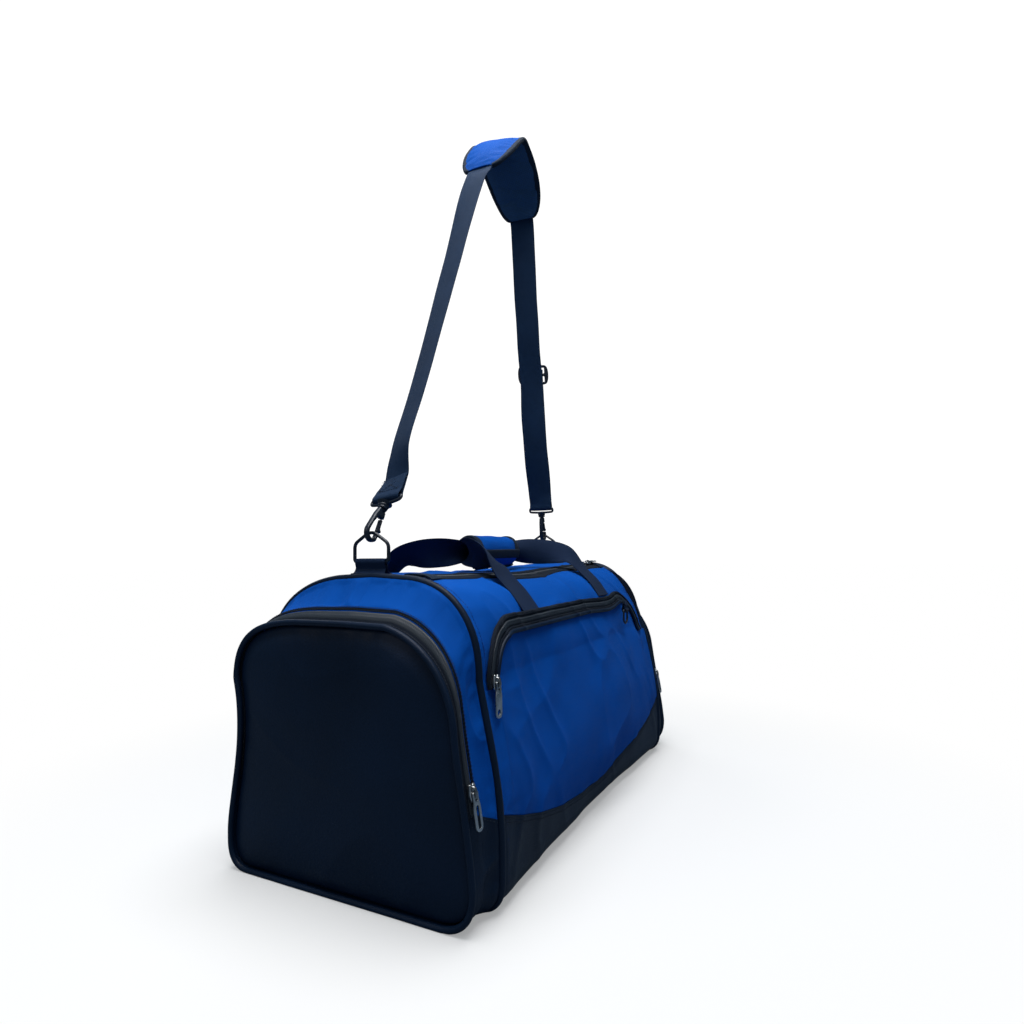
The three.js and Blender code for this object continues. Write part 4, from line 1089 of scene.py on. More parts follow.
def add_end_pocket(name, end):
    front = lambda t: gusset_seam("front", t)
    back = lambda t: gusset_seam("back", t)
    tuck = 0.005
    base = gusset_sheet(end, -0.04, 1.04, lambda t: front(t) - 0.001, lambda t: back(t) + 0.001, 16, 240,
                        0.0006)
    base.points[:, 2] = np.maximum(base.points[:, 2], 0.0004)
    add(f"cloth_{name}_pocket_base", base, black_coated, "black_leatherette", "root",
        (f"{name}_pocket_base",))
    upper = gusset_sheet(end, -0.04, GUSSET_SPLIT + 0.06, lambda t: back(t) - tuck,
                         lambda t: 2 + front(t) + tuck, 30, 420, 0.0)
    add(f"cloth_{name}_pocket_gusset", upper, blue, "blue_polyester", "root", (f"{name}_pocket_gusset",))
    place, length = gusset_zip_place(end)
    add_zip((f"cloth_{name}_pocket_zip",), f"{name}_pocket_zip_coil", place, length, 0.0050, 0.0074,
            -0.0002,
            slider=0.0036, flip=end > 0)
    add_piping(f"{name}_pocket_piping", pocket_outline, end * END_PIPING_X, PIPING_RADIUS)
    for seam, inward in ((front, 0.004), (back, -0.004)):
        across = lambda p, q, lift: on_gusset(end, p, seam(p) + inward, lift + 0.0006)
        sew(BODY_SEAM, across, 0.03, 0.97, 0, pitch=0.08)
    add_end_panel(name, end)


def add_end_panel(name, end):
    """The leatherette end, a slack sheet that bellies outwards inside its piping."""
    seed = 61 if end < 0 else 71

    def face(y, z, share):
        share = np.asarray(share, float) + 0 * y
        belly = 0.0055 * (1 - share ** 8) + 0.0045 * (1 - share ** 2)
        free = smooth((1 - share) / 0.12)
        folds = 0.0026 * (creases(y, z, -52, 0.22, 0.11, seed) - 0.4)
        folds = folds + 0.0006 * (creases(y, z, 35, 0.16, 0.09, seed + 3) - 0.4)
        soft = 0.0014 * noise(y / 0.09, z / 0.10, seed + 5)
        angle = np.arctan2(z - 0.13, y) * 0.12
        rim = 0.0008 * noise(angle / 0.011, 0 * angle + 1, seed + 6)
        rim = rim * np.exp(-(1 - share) / 0.06) * smooth((1 - share) / 0.02)
        return end * (END_FACE - 0.0075 + belly + free * (folds + soft) + rim)

    shape = disc_sheet(pocket_outline, face, -2 * PIPING_RADIUS + 0.0012, -end * CLOTH, rings=60,
                       segments=300)
    add(f"cloth_{name}_pocket_panel", shape, black_coated, "black_leatherette", "root",
        (f"{name}_pocket_panel",))


# Sliders and pulls

def slider_matrix(name):
    """Local X is the way the slider opens and Z is off the cloth, both read from its own joints."""
    joints = {joint["name"]: joint for joint in frame["joints"]}
    flip = joints[f"{name}_pull_flip"]
    travel = joints[f"{name}_slider_travel"]
    pin, across = np.array(flip["pos_m"]), np.array(flip["axis"])
    if travel["type"] == "slide":
        along = np.array(travel["axis"], float)
    else:
        along = np.cross(np.array(travel["axis"]), pin - np.array(travel["pos_m"]))
    along = unit(along)
    across = unit(across - along * (across @ along))
    outward = np.cross(along, across)
    if outward @ (pin - np.array([pin[0] * 0.9, 0, 0.13])) < 0:
        across, outward = -across, -outward
    return frame_matrix(along, across, outward, pin)


PIN_HEIGHT = 0.0051


def slider_shape():
    """A zip slider seen with its pin at the origin: a waisted top plate and an arched bridge."""
    low = -PIN_HEIGHT + 0.0008
    nose = 0.0077
    plan = rounded([(-nose, -0.0036), (-0.001, -0.0056), (nose, -0.0044), (nose, -0.0016), (0.0062, 0),
                    (nose, 0.0016),
                    (nose, 0.0044), (-0.001, 0.0056), (-nose, 0.0036)],
                   [0.003, 0.005, 0.003, 0.0008, 0.001, 0.0008, 0.003, 0.005, 0.003], 5)
    body = plate(plan, [], 0.0030, 0.0007).placed(Matrix.Translation((0, 0, low + 0.0015)))
    across = np.linspace(-1, 1, 21)
    height = (PIN_HEIGHT - 0.0038 + 0.0018) * np.clip(1 - np.abs(across) ** 3.2, 0, 1) ** 0.5
    line = np.stack([0.0052 * across, 0 * across, low + 0.0026 + height], 1)
    bridge = cord(line, 0.00105, across=(0, 1, 0), sides=10, flatten=1.7)
    return merged(body, bridge)


def pull_shape(framed):
    half, length = 0.0055, 0.032
    outline = rounded([(0.0012, -half * 0.8), (0.0012, half * 0.8), (-0.006, half * 0.72), (-0.012, half),
                       (-length, half), (-length, -half),
                       (-0.012, -half), (-0.006, -half * 0.72)],
                      [0.002, 0.002, 0.002, 0.003, half, half, 0.003, 0.002], 7)
    eye = rounded([(-0.0008, -0.0023), (-0.0008, 0.0023), (-0.0066, 0.0019), (-0.0066, -0.0019)], 0.0012, 4)
    if framed:
        grip = rounded([(-0.0105, -0.0023), (-0.0105, 0.0023), (-length + 0.0024, 0.0023),
                        (-length + 0.0024, -0.0023)], 0.0022, 6)
    else:
        grip = arc((-length + 0.0053, 0), 0.0027, 0, 345, 24)
    tab = plate(outline, [eye, grip], 0.0017, 0.0004)
    if framed:
        return tab
    panel = plate(rounded([(-0.0085, -0.003), (-0.0085, 0.003), (-0.022, 0.003), (-0.022, -0.003)], 0.001,
                          4), [], 0.0022, 0.0003)
    return merged(tab, panel)


def add_sliders():
    for name in ("top", "front_pocket", "near_pocket", "far_pocket"):
        matrix = slider_matrix(name)
        framed = name in ("near_pocket", "far_pocket")
        add(f"{name}_slider_casting", slider_shape().placed(matrix), silver, "zip_metal", f"{name}_slider",
            (f"{name}_slider",))
        add(f"{name}_pull_tab", pull_shape(framed).placed(matrix), silver, "zip_metal", f"{name}_pull",
            (f"{name}_pull",))


# Rings and their tabs

RING_CROWN_RISE = 0.001
RING_HEIGHT = 0.031


def ring_crown(name):
    low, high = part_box(f"{name}_ring")
    return Vector(((low.x + high.x) / 2, (low.y + high.y) / 2, high.z - RING_CROWN_RISE))


def add_ring(name):
    crown = ring_crown(name)
    half = 0.0222
    path = rounded([(-half, -RING_HEIGHT), (half, -RING_HEIGHT), (half, -0.0118), (0.004, -0.0004),
                    (-0.004, -0.0004), (-half, -0.0118)],
                   [0.004, 0.004, 0.005, 0.005, 0.005, 0.005], 8)
    line = closed_line(path, 120)
    points = np.stack([crown.x + 0 * line[:, 0], crown.y + line[:, 0], crown.z + line[:, 1]], 1)
    shape = cord(points, 0.0018, closed=True, across=(1, 0, 0), sides=14, flatten=1.12)
    add(f"{name}_strap_ring", shape, black_plastic, "black_plastic", f"{name}_ring", (f"{name}_ring",))
    add_ring_tab(name, crown)


def add_ring_tab(name, crown):
    """A tab of webbing folded round the ring's lower bar, its feet spread and sewn to the bag's top."""
    bar = crown.z - RING_HEIGHT
    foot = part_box(f"{name}_ring_tab")[0].z
    turn = np.linspace(-20, 200, 18) * DEGREE
    radius = 0.0031
    loop = np.stack([radius * np.cos(turn), radius * np.sin(turn)], 1)
    side = [(0.0085, foot - bar + 0.0006), (0.0042, foot - bar + 0.0012), (0.0022, foot - bar + 0.0042),
            (0.0016, -0.0065)]
    profile = np.array(side + [tuple(p) for p in loop] + [(-x, z) for x, z in reversed(side)])
    stops = np.stack([crown.x + profile[:, 0], crown.y + 0 * profile[:, 0], bar + profile[:, 1]], 1)
    line, = curve_through(stops, 80)
    across = np.tile([0.0, 1.0, 0.0], (len(line), 1))
    spread = WEBBING + 0.003 * smooth((bar - 0.004 - line[:, 2]) / 0.012)
    shape = ribbon(line, across, spread, WEBBING_THICKNESS)
    add(f"cloth_{name}_ring_tab", shape, handle_weave, "webbing", "root", (f"{name}_ring_tab",))
    face = lambda p, q, lift: np.stack([crown.x - 0.0026 - lift + 0 * p, crown.y + p, bar - 0.0075 + q], -1)
    for height in (0.0, -0.003):
        sew(BODY_SEAM, face, -0.015, 0.015, height)


# Handles and their wrap

WRAP_LOW, WRAP_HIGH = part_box("handle_wrap")
WRAP_LENGTH = 0.88 * (WRAP_HIGH.x - WRAP_LOW.x)
WRAP_HALF_WIDTH = 0.017
WRAP_HALF_HEIGHT = 0.018
WRAP_CENTRE = Vector((WRAP_LOW.x + WRAP_LENGTH / 2, 0, WRAP_HIGH.z - WRAP_HALF_HEIGHT))
HANDLE_LEG_NEAR = -0.133
HANDLE_LEG_FAR = 0.105
FOLD_ANGLE = 165 * DEGREE


def leg(x, z, side, lift):
    w = body_outline.front_at_height(z) if side < 0 else body_outline.back_at_height(z)
    return on_body(x, w, lift)


def handle_stops(side, end):
    """Centre, direction across and curl of one half of a handle, from its foot to the middle of the wrap."""
    foot = HANDLE_LEG_NEAR if end < 0 else HANDLE_LEG_FAR
    lift = 0.0006 + WEBBING_THICKNESS / 2
    flat = np.array([-end, 0, 0.0])
    leaning = np.array([-end * 0.6, side * 0.35, -0.7])
    upright = np.array([0, side * 0.05, -1.0])
    edge = np.array([0, side * 0.35, -0.93])
    shoulder = (-0.132, 0.062, 0.319) if end < 0 else (0.099, 0.060, 0.319)
    throat = (-0.113, 0.026, 0.324) if end < 0 else (0.066, 0.025, 0.324)
    mouth = WRAP_CENTRE.x + end * (WRAP_LENGTH / 2 + 0.007)
    inside = WRAP_CENTRE.x + end * (WRAP_LENGTH / 2 - 0.009)
    under_zip = 0.258 if side < 0 else 0.246
    return [
        (leg(foot, under_zip, side, lift), flat, 0),
        (leg(foot, 0.277, side, lift), flat, 0),
        (leg(foot, 0.290, side, lift + 0.005), flat, 0.1),
        (np.array([shoulder[0], side * shoulder[1], shoulder[2]]), leaning, 0.25),
        (np.array([throat[0], side * throat[1], throat[2]]), edge, 0.9),
        (np.array([mouth, side * 0.007, WRAP_CENTRE.z]), upright, FOLD_ANGLE),
        (np.array([inside, side * 0.005, WRAP_CENTRE.z]), upright, FOLD_ANGLE),
        (np.array([WRAP_CENTRE.x, side * 0.005, WRAP_CENTRE.z]), upright, FOLD_ANGLE),
    ]


def add_handle(name, side):
    for half, end in (("near", -1), ("far", 1)):
        stops = handle_stops(side, end)
        line, across, curl = curve_through([s[0] for s in stops], 150,
                                           [[s[1] for s in stops], [s[2] for s in stops]])
        shape = ribbon(line, across, WEBBING, WEBBING_THICKNESS, curl * side * end)
        piece = add(f"{name}_handle_{half}_half", shape, handle_weave, "webbing", None,
                    (f"{name}_handle_webbing",))
        start, finish = Vector(stops[2][0]), Vector((stops[5][0][0], 0, stops[5][0][2]))
        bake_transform(piece)
        foot = HANDLE_LEG_NEAR if end < 0 else HANDLE_LEG_FAR
        if side > 0:
            face = lambda p, q, lift: leg(foot + p, 0.262 + q, side, 0.0006 + WEBBING_THICKNESS + lift)
            sew_box(BODY_SEAM, face, -0.015, 0.015, -0.013, 0.013)


def wrap_sheet(low, high, lift, thickness, length, rows=110, quilt=0.0):
    """A sheet round the wrap between two turns in degrees."""
    x = np.linspace(-length / 2, length / 2, 70)[:, None]
    turn = np.linspace(low, high, rows)[None] * DEGREE
    end_roll = -0.0008 * smooth((np.abs(x) - length / 2 + 0.012) / 0.012)
    soft = quilt * noise(x / 0.022, turn / 0.5, 81) + end_roll
    puff = 0.0011 * np.sin(math.pi * np.clip((x / length + 0.5), 0, 1)) ** 0.4

    def shell(away):
        half_width, half_height = WRAP_HALF_WIDTH + away, WRAP_HALF_HEIGHT + away
        y = WRAP_CENTRE.y + (half_width + soft) * np.cos(turn)
        z = WRAP_CENTRE.z + (half_height + soft + puff) * np.sin(turn)
        return np.stack([WRAP_CENTRE.x + x + 0 * turn, y, z], -1)

    return flipped(cloth_sheet(shell(lift), shell(lift - thickness)))


def wrap_band(turns, x, lift):
    """Points round the wrap at turns in degrees."""
    turn = np.asarray(turns, float) * DEGREE
    y = WRAP_CENTRE.y + (WRAP_HALF_WIDTH + lift) * np.cos(turn)
    z = WRAP_CENTRE.z + (WRAP_HALF_HEIGHT + lift + 0.0006) * np.sin(turn)
    return np.stack([WRAP_CENTRE.x + x + 0 * turn, y, z], -1)


def binding(name, line, across, width, body, thickness):
    """A tape folded over a raw edge."""
    tangent = directions(line, False)
    across = unit(across - tangent * np.sum(across * tangent, axis=1, keepdims=True))
    normal = np.cross(tangent, across)
    turn = 2 * math.pi * np.arange(16) / 16
    power = lambda v: np.sign(v) * np.abs(v) ** 0.55
    ring = power(np.cos(turn))[None, :, None] * across[:, None] * width / 2
    ring = ring + power(np.sin(turn))[None, :, None] * normal[:, None] * thickness / 2
    shape = tube(line, line[:, None] + ring, False, width * 2)
    add(name, shape, binding_weave, "webbing", body)


def bind_wrap_edge(name, turn, share, lift, width, body, thickness):
    """A binding along the wrap at a turn in degrees, over a share of its length."""
    x = np.linspace(-WRAP_LENGTH / 2 + 0.002, WRAP_LENGTH / 2 - 0.002, 60) * share
    line = np.stack([wrap_band([turn], v, lift)[0] for v in x])
    around = np.array([0, -WRAP_HALF_WIDTH * math.sin(turn * DEGREE),
                       WRAP_HALF_HEIGHT * math.cos(turn * DEGREE)])
    binding(name, line, np.tile(around, (len(line), 1)), width, body, thickness)


def add_wrap():
    """A padded sleeve with bound edges, and the flap that closes it."""
    length = WRAP_LENGTH
    sleeve = wrap_sheet(-103, 214, 0.0006, 0.0034, length - 0.004, quilt=0.0007)
    add("cloth_handle_wrap", sleeve, blue, "blue_polyester", "handle", ("handle_wrap",))
    for name, x in (("near", -length / 2 + 0.005), ("far", length / 2 - 0.005)):
        line = wrap_band(np.linspace(-104, 214, 120), x, -0.0010)
        binding(f"{name}_wrap_binding", line, np.tile([1.0, 0, 0], (len(line), 1)), 0.011, "handle", 0.0050)
    bind_wrap_edge("upper_wrap_binding", 214, 1, -0.0010, 0.009, "handle", 0.0048)
    bind_wrap_edge("lower_wrap_binding", -104, 1, -0.0010, 0.009, "handle", 0.0048)
    flap = wrap_sheet(191, 249, 0.0042, 0.0018, length - 0.014, rows=50)
    add("cloth_handle_wrap_flap", flap, blue, "blue_polyester", "wrap_flap", ("handle_wrap_flap",))
    bind_wrap_edge("flap_edge_binding", 250, 0.93, 0.0033, 0.009, "wrap_flap", 0.0034)
    bind_wrap_edge("flap_top_binding", 192, 0.93, 0.0033, 0.012, "handle", 0.0034)


# Shoulder strap. Local X runs from the near ring's crown to the far one's, as its swing joint does.

def strap_matrix():
    joint = next(joint for joint in frame["joints"] if joint["name"] == "strap_swing")
    along = unit(np.array(joint["axis"], float))
    across = unit(np.cross([0, 0, 1], along))
    return frame_matrix(along, across, np.cross(along, across), joint["pos_m"])


STRAP = strap_matrix()
STRAP_SPAN = (ring_crown("far") - ring_crown("near")).length
HOOK_LEANS = {"near": 38, "far": -9}
HOOK_EYE = 0.047
LOOP_BAR = 0.0034
PAD_WIDTH = 0.084
NEAR_LOOP_TURN = 12 * DEGREE
LATHE_TO_STEM = Matrix(((1, 0, 0, 0), (0, 0, 1, 0), (0, -1, 0, 0), (0, 0, 0, 1)))


def hook_origin(name):
    return 0.0 if name == "near" else STRAP_SPAN


def hook_matrix(name):
    """From a hook's own frame, Y up its stem and Z across its flat, to the bag's frame."""
    lean = HOOK_LEANS[name] * DEGREE
    c, s = math.cos(lean), math.sin(lean)
    local = np.array([[c, s, 0, hook_origin(name)], [0, 0, -1, 0], [-s, c, 0, 0], [0, 0, 0, 1]], float)
    return STRAP @ local


def beside_hook(name, up, side):
    lean = HOOK_LEANS[name] * DEGREE
    c, s = math.cos(lean), math.sin(lean)
    return [hook_origin(name) + up * s + side * c, up * c - side * s]


def swivelled(points):
    """Turns points in the strap's own frame about the near hook's stem, fading out up the strap."""
    lean = HOOK_LEANS["near"] * DEGREE
    stem, beside = (np.array([math.sin(lean), 0, math.cos(lean)]),
                    np.array([math.cos(lean), 0, -math.sin(lean)]))
    up, side, across = points @ stem, points @ beside, points[:, 1]
    turn = (NEAR_LOOP_TURN * (1 - smooth((up - HOOK_EYE - 0.006) / 0.050))
            * smooth((0.150 - np.abs(up)) / 0.01))
    new_side = side * np.cos(turn) + across * np.sin(turn)
    new_across = across * np.cos(turn) - side * np.sin(turn)
    return up[:, None] * stem + new_side[:, None] * beside + new_across[:, None] * np.array([0, 1.0, 0])


def hook_shape():
    """A snap hook seen from its side, nose round the origin and stem up along Y."""
    outer = [*arc((0, 0), 0.0104, 180, 335, 16), (0.0094, 0.0005), (0.0090, 0.0046), (0.0058, 0.0052)]
    inner = [(0.0060, 0.0008), *reversed(arc((0, 0.0002), 0.0062, 180, 350, 14)), (-0.0052, 0.0105),
             (-0.0024, 0.0196),
             (0.0018, 0.0206), (0.0034, 0.0208)]
    top = [(0.0070, 0.0225), (0.0056, 0.0300), (-0.0054, 0.0300), (-0.0078, 0.0215)]
    body = plate(outer + inner + top, [], 0.0060, 0.0018)
    stem = lathe([(0, 0.0285), (0.0042, 0.0285), (0.0046, 0.0292), (0.0032, 0.0300), (0.0031, 0.0372),
                  (0.0022, 0.0374), (0, 0.0374)])
    return merged(body, stem.placed(LATHE_TO_STEM))


def gate_shape():
    outline = rounded([(0.0056, 0.0057), (0.0084, 0.0057), (0.0112, 0.0072), (0.0108, 0.0092),
                       (0.0080, 0.0104), (0.0064, 0.0205),
                       (0.0034, 0.0200)], [0.001, 0.001, 0.0015, 0.0015, 0.003, 0.001, 0.001], 5)
    return plate(outline, [], 0.0048, 0.0010)


def loop_shape(name):
    """The swivel collar and the frame that holds the webbing. Y is up the hook's axis."""
    half = WEBBING / 2 + 0.0017
    top, low = HOOK_EYE, 0.0394
    if name == "near":
        corners = [(-half - 0.0012, top), (half + 0.0012, top), (half + 0.0004, 0.0415),
                   (0.010, low - 0.0002), (-0.010, low - 0.0002),
                   (-half - 0.0004, 0.0415)]
        radii = [0.0045, 0.0045, 0.006, 0.006, 0.006, 0.006]
    else:
        corners = [(-half, top), (half, top), (half + 0.0004, low + 0.0008), (0.008, low), (-0.008, low),
                   (-half - 0.0004, low + 0.0008)]
        radii = [0.0035, 0.0035, 0.0035, 0.004, 0.004, 0.0035]
    path = rounded(corners, radii, 8)
    line = closed_line(path, 120)
    points = np.stack([0 * line[:, 0], line[:, 1], line[:, 0]], 1)
    bow = cord(points, 0.0018, closed=True, across=(1, 0, 0), sides=12)
    collar = lathe([(0, 0.0312), (0.0036, 0.0312), (0.0052, 0.0316), (0.0056, 0.0330), (0.0052, 0.0340),
                    (0.0058, 0.0346),
                    (0.0062, 0.0362), (0.0058, 0.0372), (0.0074, 0.0384), (0.0084, 0.0398),
                    (0.0060, 0.0408), (0, 0.0410)])
    return merged(bow, collar.placed(LATHE_TO_STEM))


def add_hook(name):
    matrix = hook_matrix(name)
    add(f"{name}_snap_hook", hook_shape().placed(matrix), black_plastic, "black_plastic", f"{name}_hook",
        (f"{name}_hook",))
    add(f"{name}_snap_gate", gate_shape().placed(matrix), black_plastic, "black_plastic", f"{name}_gate",
        (f"{name}_gate",))
    turn = -NEAR_LOOP_TURN if name == "near" else 0
    loop = loop_shape(name).placed(Matrix.Rotation(turn, 4, "Y")).placed(matrix)
    add(f"{name}_swivel_loop", loop, black_plastic, "black_plastic", "strap", (f"{name}_hook_loop",))


def crown_points():
    """The strap's middle line over its top, as (x, z) in the strap's plane, and its twist in degrees."""
    apex, radius = (0.345, 0.597), 0.014
    climb = [(0.056, 0.098, 28), (0.086, 0.156, 27), (0.118, 0.221, 26), (0.186, 0.368, 20),
             (0.249, 0.500, 8), (0.272, 0.533, 1)]
    crest = [(0.309, 0.580, -4)]
    crest += [(apex[0] + radius * math.cos(turn * DEGREE), apex[1] + radius * math.sin(turn * DEGREE),
               twist)
              for turn, twist in ((130, -5), (107.5, -4), (85, -3), (62.5, -1), (40, 2))]
    crest += [(0.386, 0.585, 12), (0.412, 0.560, 20)]
    fall = [(0.428, 0.528, 27), (0.434, 0.480, 31)]
    return climb, crest, fall


def strap_line():
    """Stops of the strap's middle line, each with its twist, between the two hooks' bars."""
    fold = LOOP_BAR / 2 + 0.0004 + 0.0005 + WEBBING_THICKNESS / 2
    near = [(*beside_hook("near", HOOK_EYE + 0.030, -0.0016), -12),
            (*beside_hook("near", HOOK_EYE + 0.008, -0.0024), 0)]
    for turn in (180, 225, 270, 315, 360):
        side, up = fold * math.cos(turn * DEGREE), fold * math.sin(turn * DEGREE)
        near.append((*beside_hook("near", HOOK_EYE + up, side), 0))
    near += [(*beside_hook("near", HOOK_EYE + 0.009, 0.0018), 1),
             (*beside_hook("near", HOOK_EYE + 0.030, 0.0008), 12)]
    climb, crest, fall = crown_points()
    descent = [(0.447, 0.340, 36), (0.458, 0.270, 36), (0.470, 0.150, 24),
               (*beside_hook("far", HOOK_EYE + 0.026, -0.0012), 10),
               (*beside_hook("far", HOOK_EYE + 0.008, -0.0020), 0)]
    for turn in (180, 225, 270, 315, 360):
        side, up = fold * math.cos(turn * DEGREE), fold * math.sin(turn * DEGREE)
        descent.append((*beside_hook("far", HOOK_EYE + up, side), 0))
    descent.append((*beside_hook("far", HOOK_EYE + 0.012, 0.0026), 0))
    return [*near, *climb, *crest, *fall, *descent]


def strap_band(stops, count):
    """The middle line of a twisted band in the strap's plane, its way across and its way out."""
    flat = np.array([(x, 0, z) for x, z, _ in stops])
    line, twist = curve_through(flat, count, [[t for _, _, t in stops]])
    tangent = directions(line, False)
    beside = np.stack([tangent[:, 2], 0 * tangent[:, 0], -tangent[:, 0]], 1)
    angle = twist[:, None] * DEGREE
    across = np.cos(angle) * np.array([0, 1.0, 0]) + np.sin(angle) * beside
    return line, across, np.cross(tangent, across)


def add_strap():
    line, across, _ = strap_band(strap_line(), 620)
    distance = lengths_along(line)
    wave = 0.0006 * noise(distance / 0.05, 0 * distance, 91)
    curl = 0.12 * noise(distance / 0.09, 0 * distance, 92)
    shape = ribbon(line + across * wave[:, None], across, WEBBING, WEBBING_THICKNESS, curl)
    shape.points = swivelled(shape.points)
    add("cloth_strap_webbing", shape.placed(STRAP), strap_weave, "webbing", "strap", ("strap_webbing",))
    add_strap_return()
    add_adjuster()
    for name in ("near", "far"):
        add_hook(name)
    add_fold_stitches()


def add_fold_stitches():
    """A box of stitches where the webbing's fold round the near hook's bar is sewn shut."""
    along = np.subtract(beside_hook("near", 1, 0), [hook_origin("near"), 0])

    def face(p, q, lift):
        x, z = beside_hook("near", HOOK_EYE + 0.017, -(0.0032 + lift))
        return to_bag(swivelled(np.stack([x + q * along[0], p, z + q * along[1]], -1)))

    sew_box(("strap", "black"), face, -0.014, 0.014, -0.008, 0.008)


def to_bag(points):
    return points @ STRAP[:3, :3].T + STRAP[:3, 3]


def add_strap_return():
    low = beside_hook("far", HOOK_EYE + 0.0126, 0.0026)
    stops = [(*low, 0), (0.4838, 0.110, -12), (0.4734, 0.150, -22), (0.4622, 0.264, -36),
             (0.4612, 0.282, -36)]
    line, across, _ = strap_band(stops, 120)
    shape = ribbon(line, across, WEBBING, WEBBING_THICKNESS)
    piece = add("cloth_strap_return", shape.placed(STRAP), strap_weave, "webbing", None, ("strap_return",))
    Vector(to_bag(line[:1])[0])
    Vector(to_bag(line[-1:])[0])
    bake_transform(piece)


def add_adjuster():
    half = WEBBING / 2
    outline = rounded([(-half - 0.0040, -0.0165), (half + 0.0040, -0.0165), (half + 0.0075, -0.0070),
                       (half + 0.0075, 0.0070),
                       (half + 0.0040, 0.0165), (-half - 0.0040, 0.0165),
                       (-half - 0.0075, 0.0070), (-half - 0.0075, -0.0070)],
                      0.006, 6)
    holes = [rounded([(-half - 0.0006, m - 0.0050), (-half - 0.0006, m + 0.0050),
                      (half + 0.0006, m + 0.0050), (half + 0.0006, m - 0.0050)], 0.0014, 4)
             for m in (-0.0074, 0.0074)]
    shape = plate(outline, holes, 0.0036, 0.0012)
    lean, twist = -6 * DEGREE, 36 * DEGREE
    up = np.array([math.sin(lean), 0, math.cos(lean)])
    beside = np.array([-up[2], 0, up[0]])
    across = math.cos(twist) * np.array([0, 1.0, 0]) + math.sin(twist) * beside
    matrix = frame_matrix(across, up, np.cross(across, up), (0.4620, -0.0025, 0.2725))
    bars = []
    for m in (-0.0136, 0.0, 0.0136):
        line = np.stack([np.linspace(-half, half, 12), np.full(12, m), np.full(12, 0.0)], 1)
        bars.append(cord(line, 0.0017, across=(0, 0, 1), sides=10))
    whole = merged(shape, *bars).placed(matrix).placed(STRAP)
    add("strap_adjuster_frame", whole, black_plastic, "black_plastic", "adjuster", ("strap_adjuster",))


# Shoulder pad

def pad_grid(lift_of, rows=90, columns=31):
    """Points of the pad's face. lift_of(along share, across share) is how far it stands off the webbing."""
    climb, crest, fall = crown_points()
    stops = [climb[-1], *crest, fall[0]]
    line, across, outward = strap_band(stops, rows)
    share = lengths_along(line) / lengths_along(line)[-1]
    width = PAD_WIDTH * (0.46 + 0.54 * (1 - np.abs(2 * share - 1) ** 3) ** 0.55)
    v = np.linspace(-1, 1, columns)
    lift = lift_of(share[:, None], v[None])
    flat = line[:, None] + across[:, None] * (v[None, :, None] * width[:, None, None] / 2)
    return flat + outward[:, None] * lift[..., None], share, v


def inflate(name, shape, pinned, free, cap=0.006, pressure=3.0):
    """Blows a closed cushion up with the cloth solver. Pinned points stay, the others move at most cap."""
    mesh = bpy.data.meshes.new(name)
    mesh.from_pydata(shape.points.tolist(), [], shape.faces)
    mesh.update()
    scene = bpy.context.scene
    body = in_scene(name, mesh)
    group = body.vertex_groups.new(name="sewn")
    group.add([int(i) for i in np.flatnonzero(pinned)], 1.0, "REPLACE")
    cloth = body.modifiers.new("cloth", "CLOTH")
    cloth.settings.use_pressure = True
    cloth.settings.uniform_pressure_force = pressure
    cloth.settings.effector_weights.gravity = 0
    cloth.settings.vertex_group_mass = "sewn"
    cloth.settings.mass = 0.25
    cloth.settings.tension_stiffness = 12
    cloth.settings.compression_stiffness = 12
    cloth.settings.bending_stiffness = 0.4
    cloth.settings.shrink_min = -0.03
    cloth.collision_settings.use_collision = False
    cloth.point_cache.frame_start = 1
    cloth.point_cache.frame_end = 20
    for step in range(1, 21):
        scene.frame_set(step)
    result = body.evaluated_get(bpy.context.evaluated_depsgraph_get()).to_mesh()
    moved = np.array([v.co for v in result.vertices]) - shape.points
    scene.frame_set(1)
    bpy.data.objects.remove(body)
    far = np.linalg.norm(moved, axis=1, keepdims=True)
    soft = cap * np.tanh(far / cap) / np.maximum(far, 1e-9)
    return Shape(shape.points + moved * soft * free[:, None], shape.faces, shape.thread)


def add_pad():
    """The pad is a blue cover and a meshed cushion, sewn together round the webbing with a bound edge."""
    thin = lambda u, v: 1 - np.abs(v) ** 3
    cover_out, share, v = pad_grid(lambda u, v: 0.0016 + 0.0022 * thin(u, v))
    cover_in, _, _ = pad_grid(lambda u, v: 0.0012 + 0 * u + 0 * v)
    cushion_out, _, _ = pad_grid(lambda u, v: -0.0012 + 0 * u + 0 * v)
    cushion_in, _, _ = pad_grid(lambda u, v: -0.0030 - 0.0034 * thin(u, v))
    pieces = (("cloth_shoulder_pad_cover", cloth_sheet(cover_out, cover_in), blue, "blue_polyester",
               "shoulder_pad_cover", 1),
              ("cloth_shoulder_pad_cushion", cloth_sheet(cushion_out, cushion_in), pad_mesh, "foam_mesh",
               "shoulder_pad_cushion", -1))
    rows, columns = cover_out.shape[:2]
    edge = np.zeros((rows, columns), bool)
    edge[[0, -1], :] = edge[:, [0, -1]] = True
    free = smooth(np.minimum(share, 1 - share) / 0.06)[:, None] * smooth((1 - np.abs(v)) / 0.35)[None]
    free = np.tile(free.ravel(), 2)
    sewn = edge.copy()
    sewn[rows // 2, :] = True
    for name, shape, material, slot, node, side in pieces:
        under = np.ones_like(edge)
        pinned = np.concatenate([(sewn if side > 0 else under).ravel(),
                                 (under if side > 0 else sewn).ravel()])
        shape = inflate(name, shape, pinned, free)
        piece = add(name, shape.placed(STRAP), material, slot, "strap", (node,))
        smoothing = piece.modifiers.new("fine", "SUBSURF")
        smoothing.levels = smoothing.render_levels = 1
    add_pad_binding()


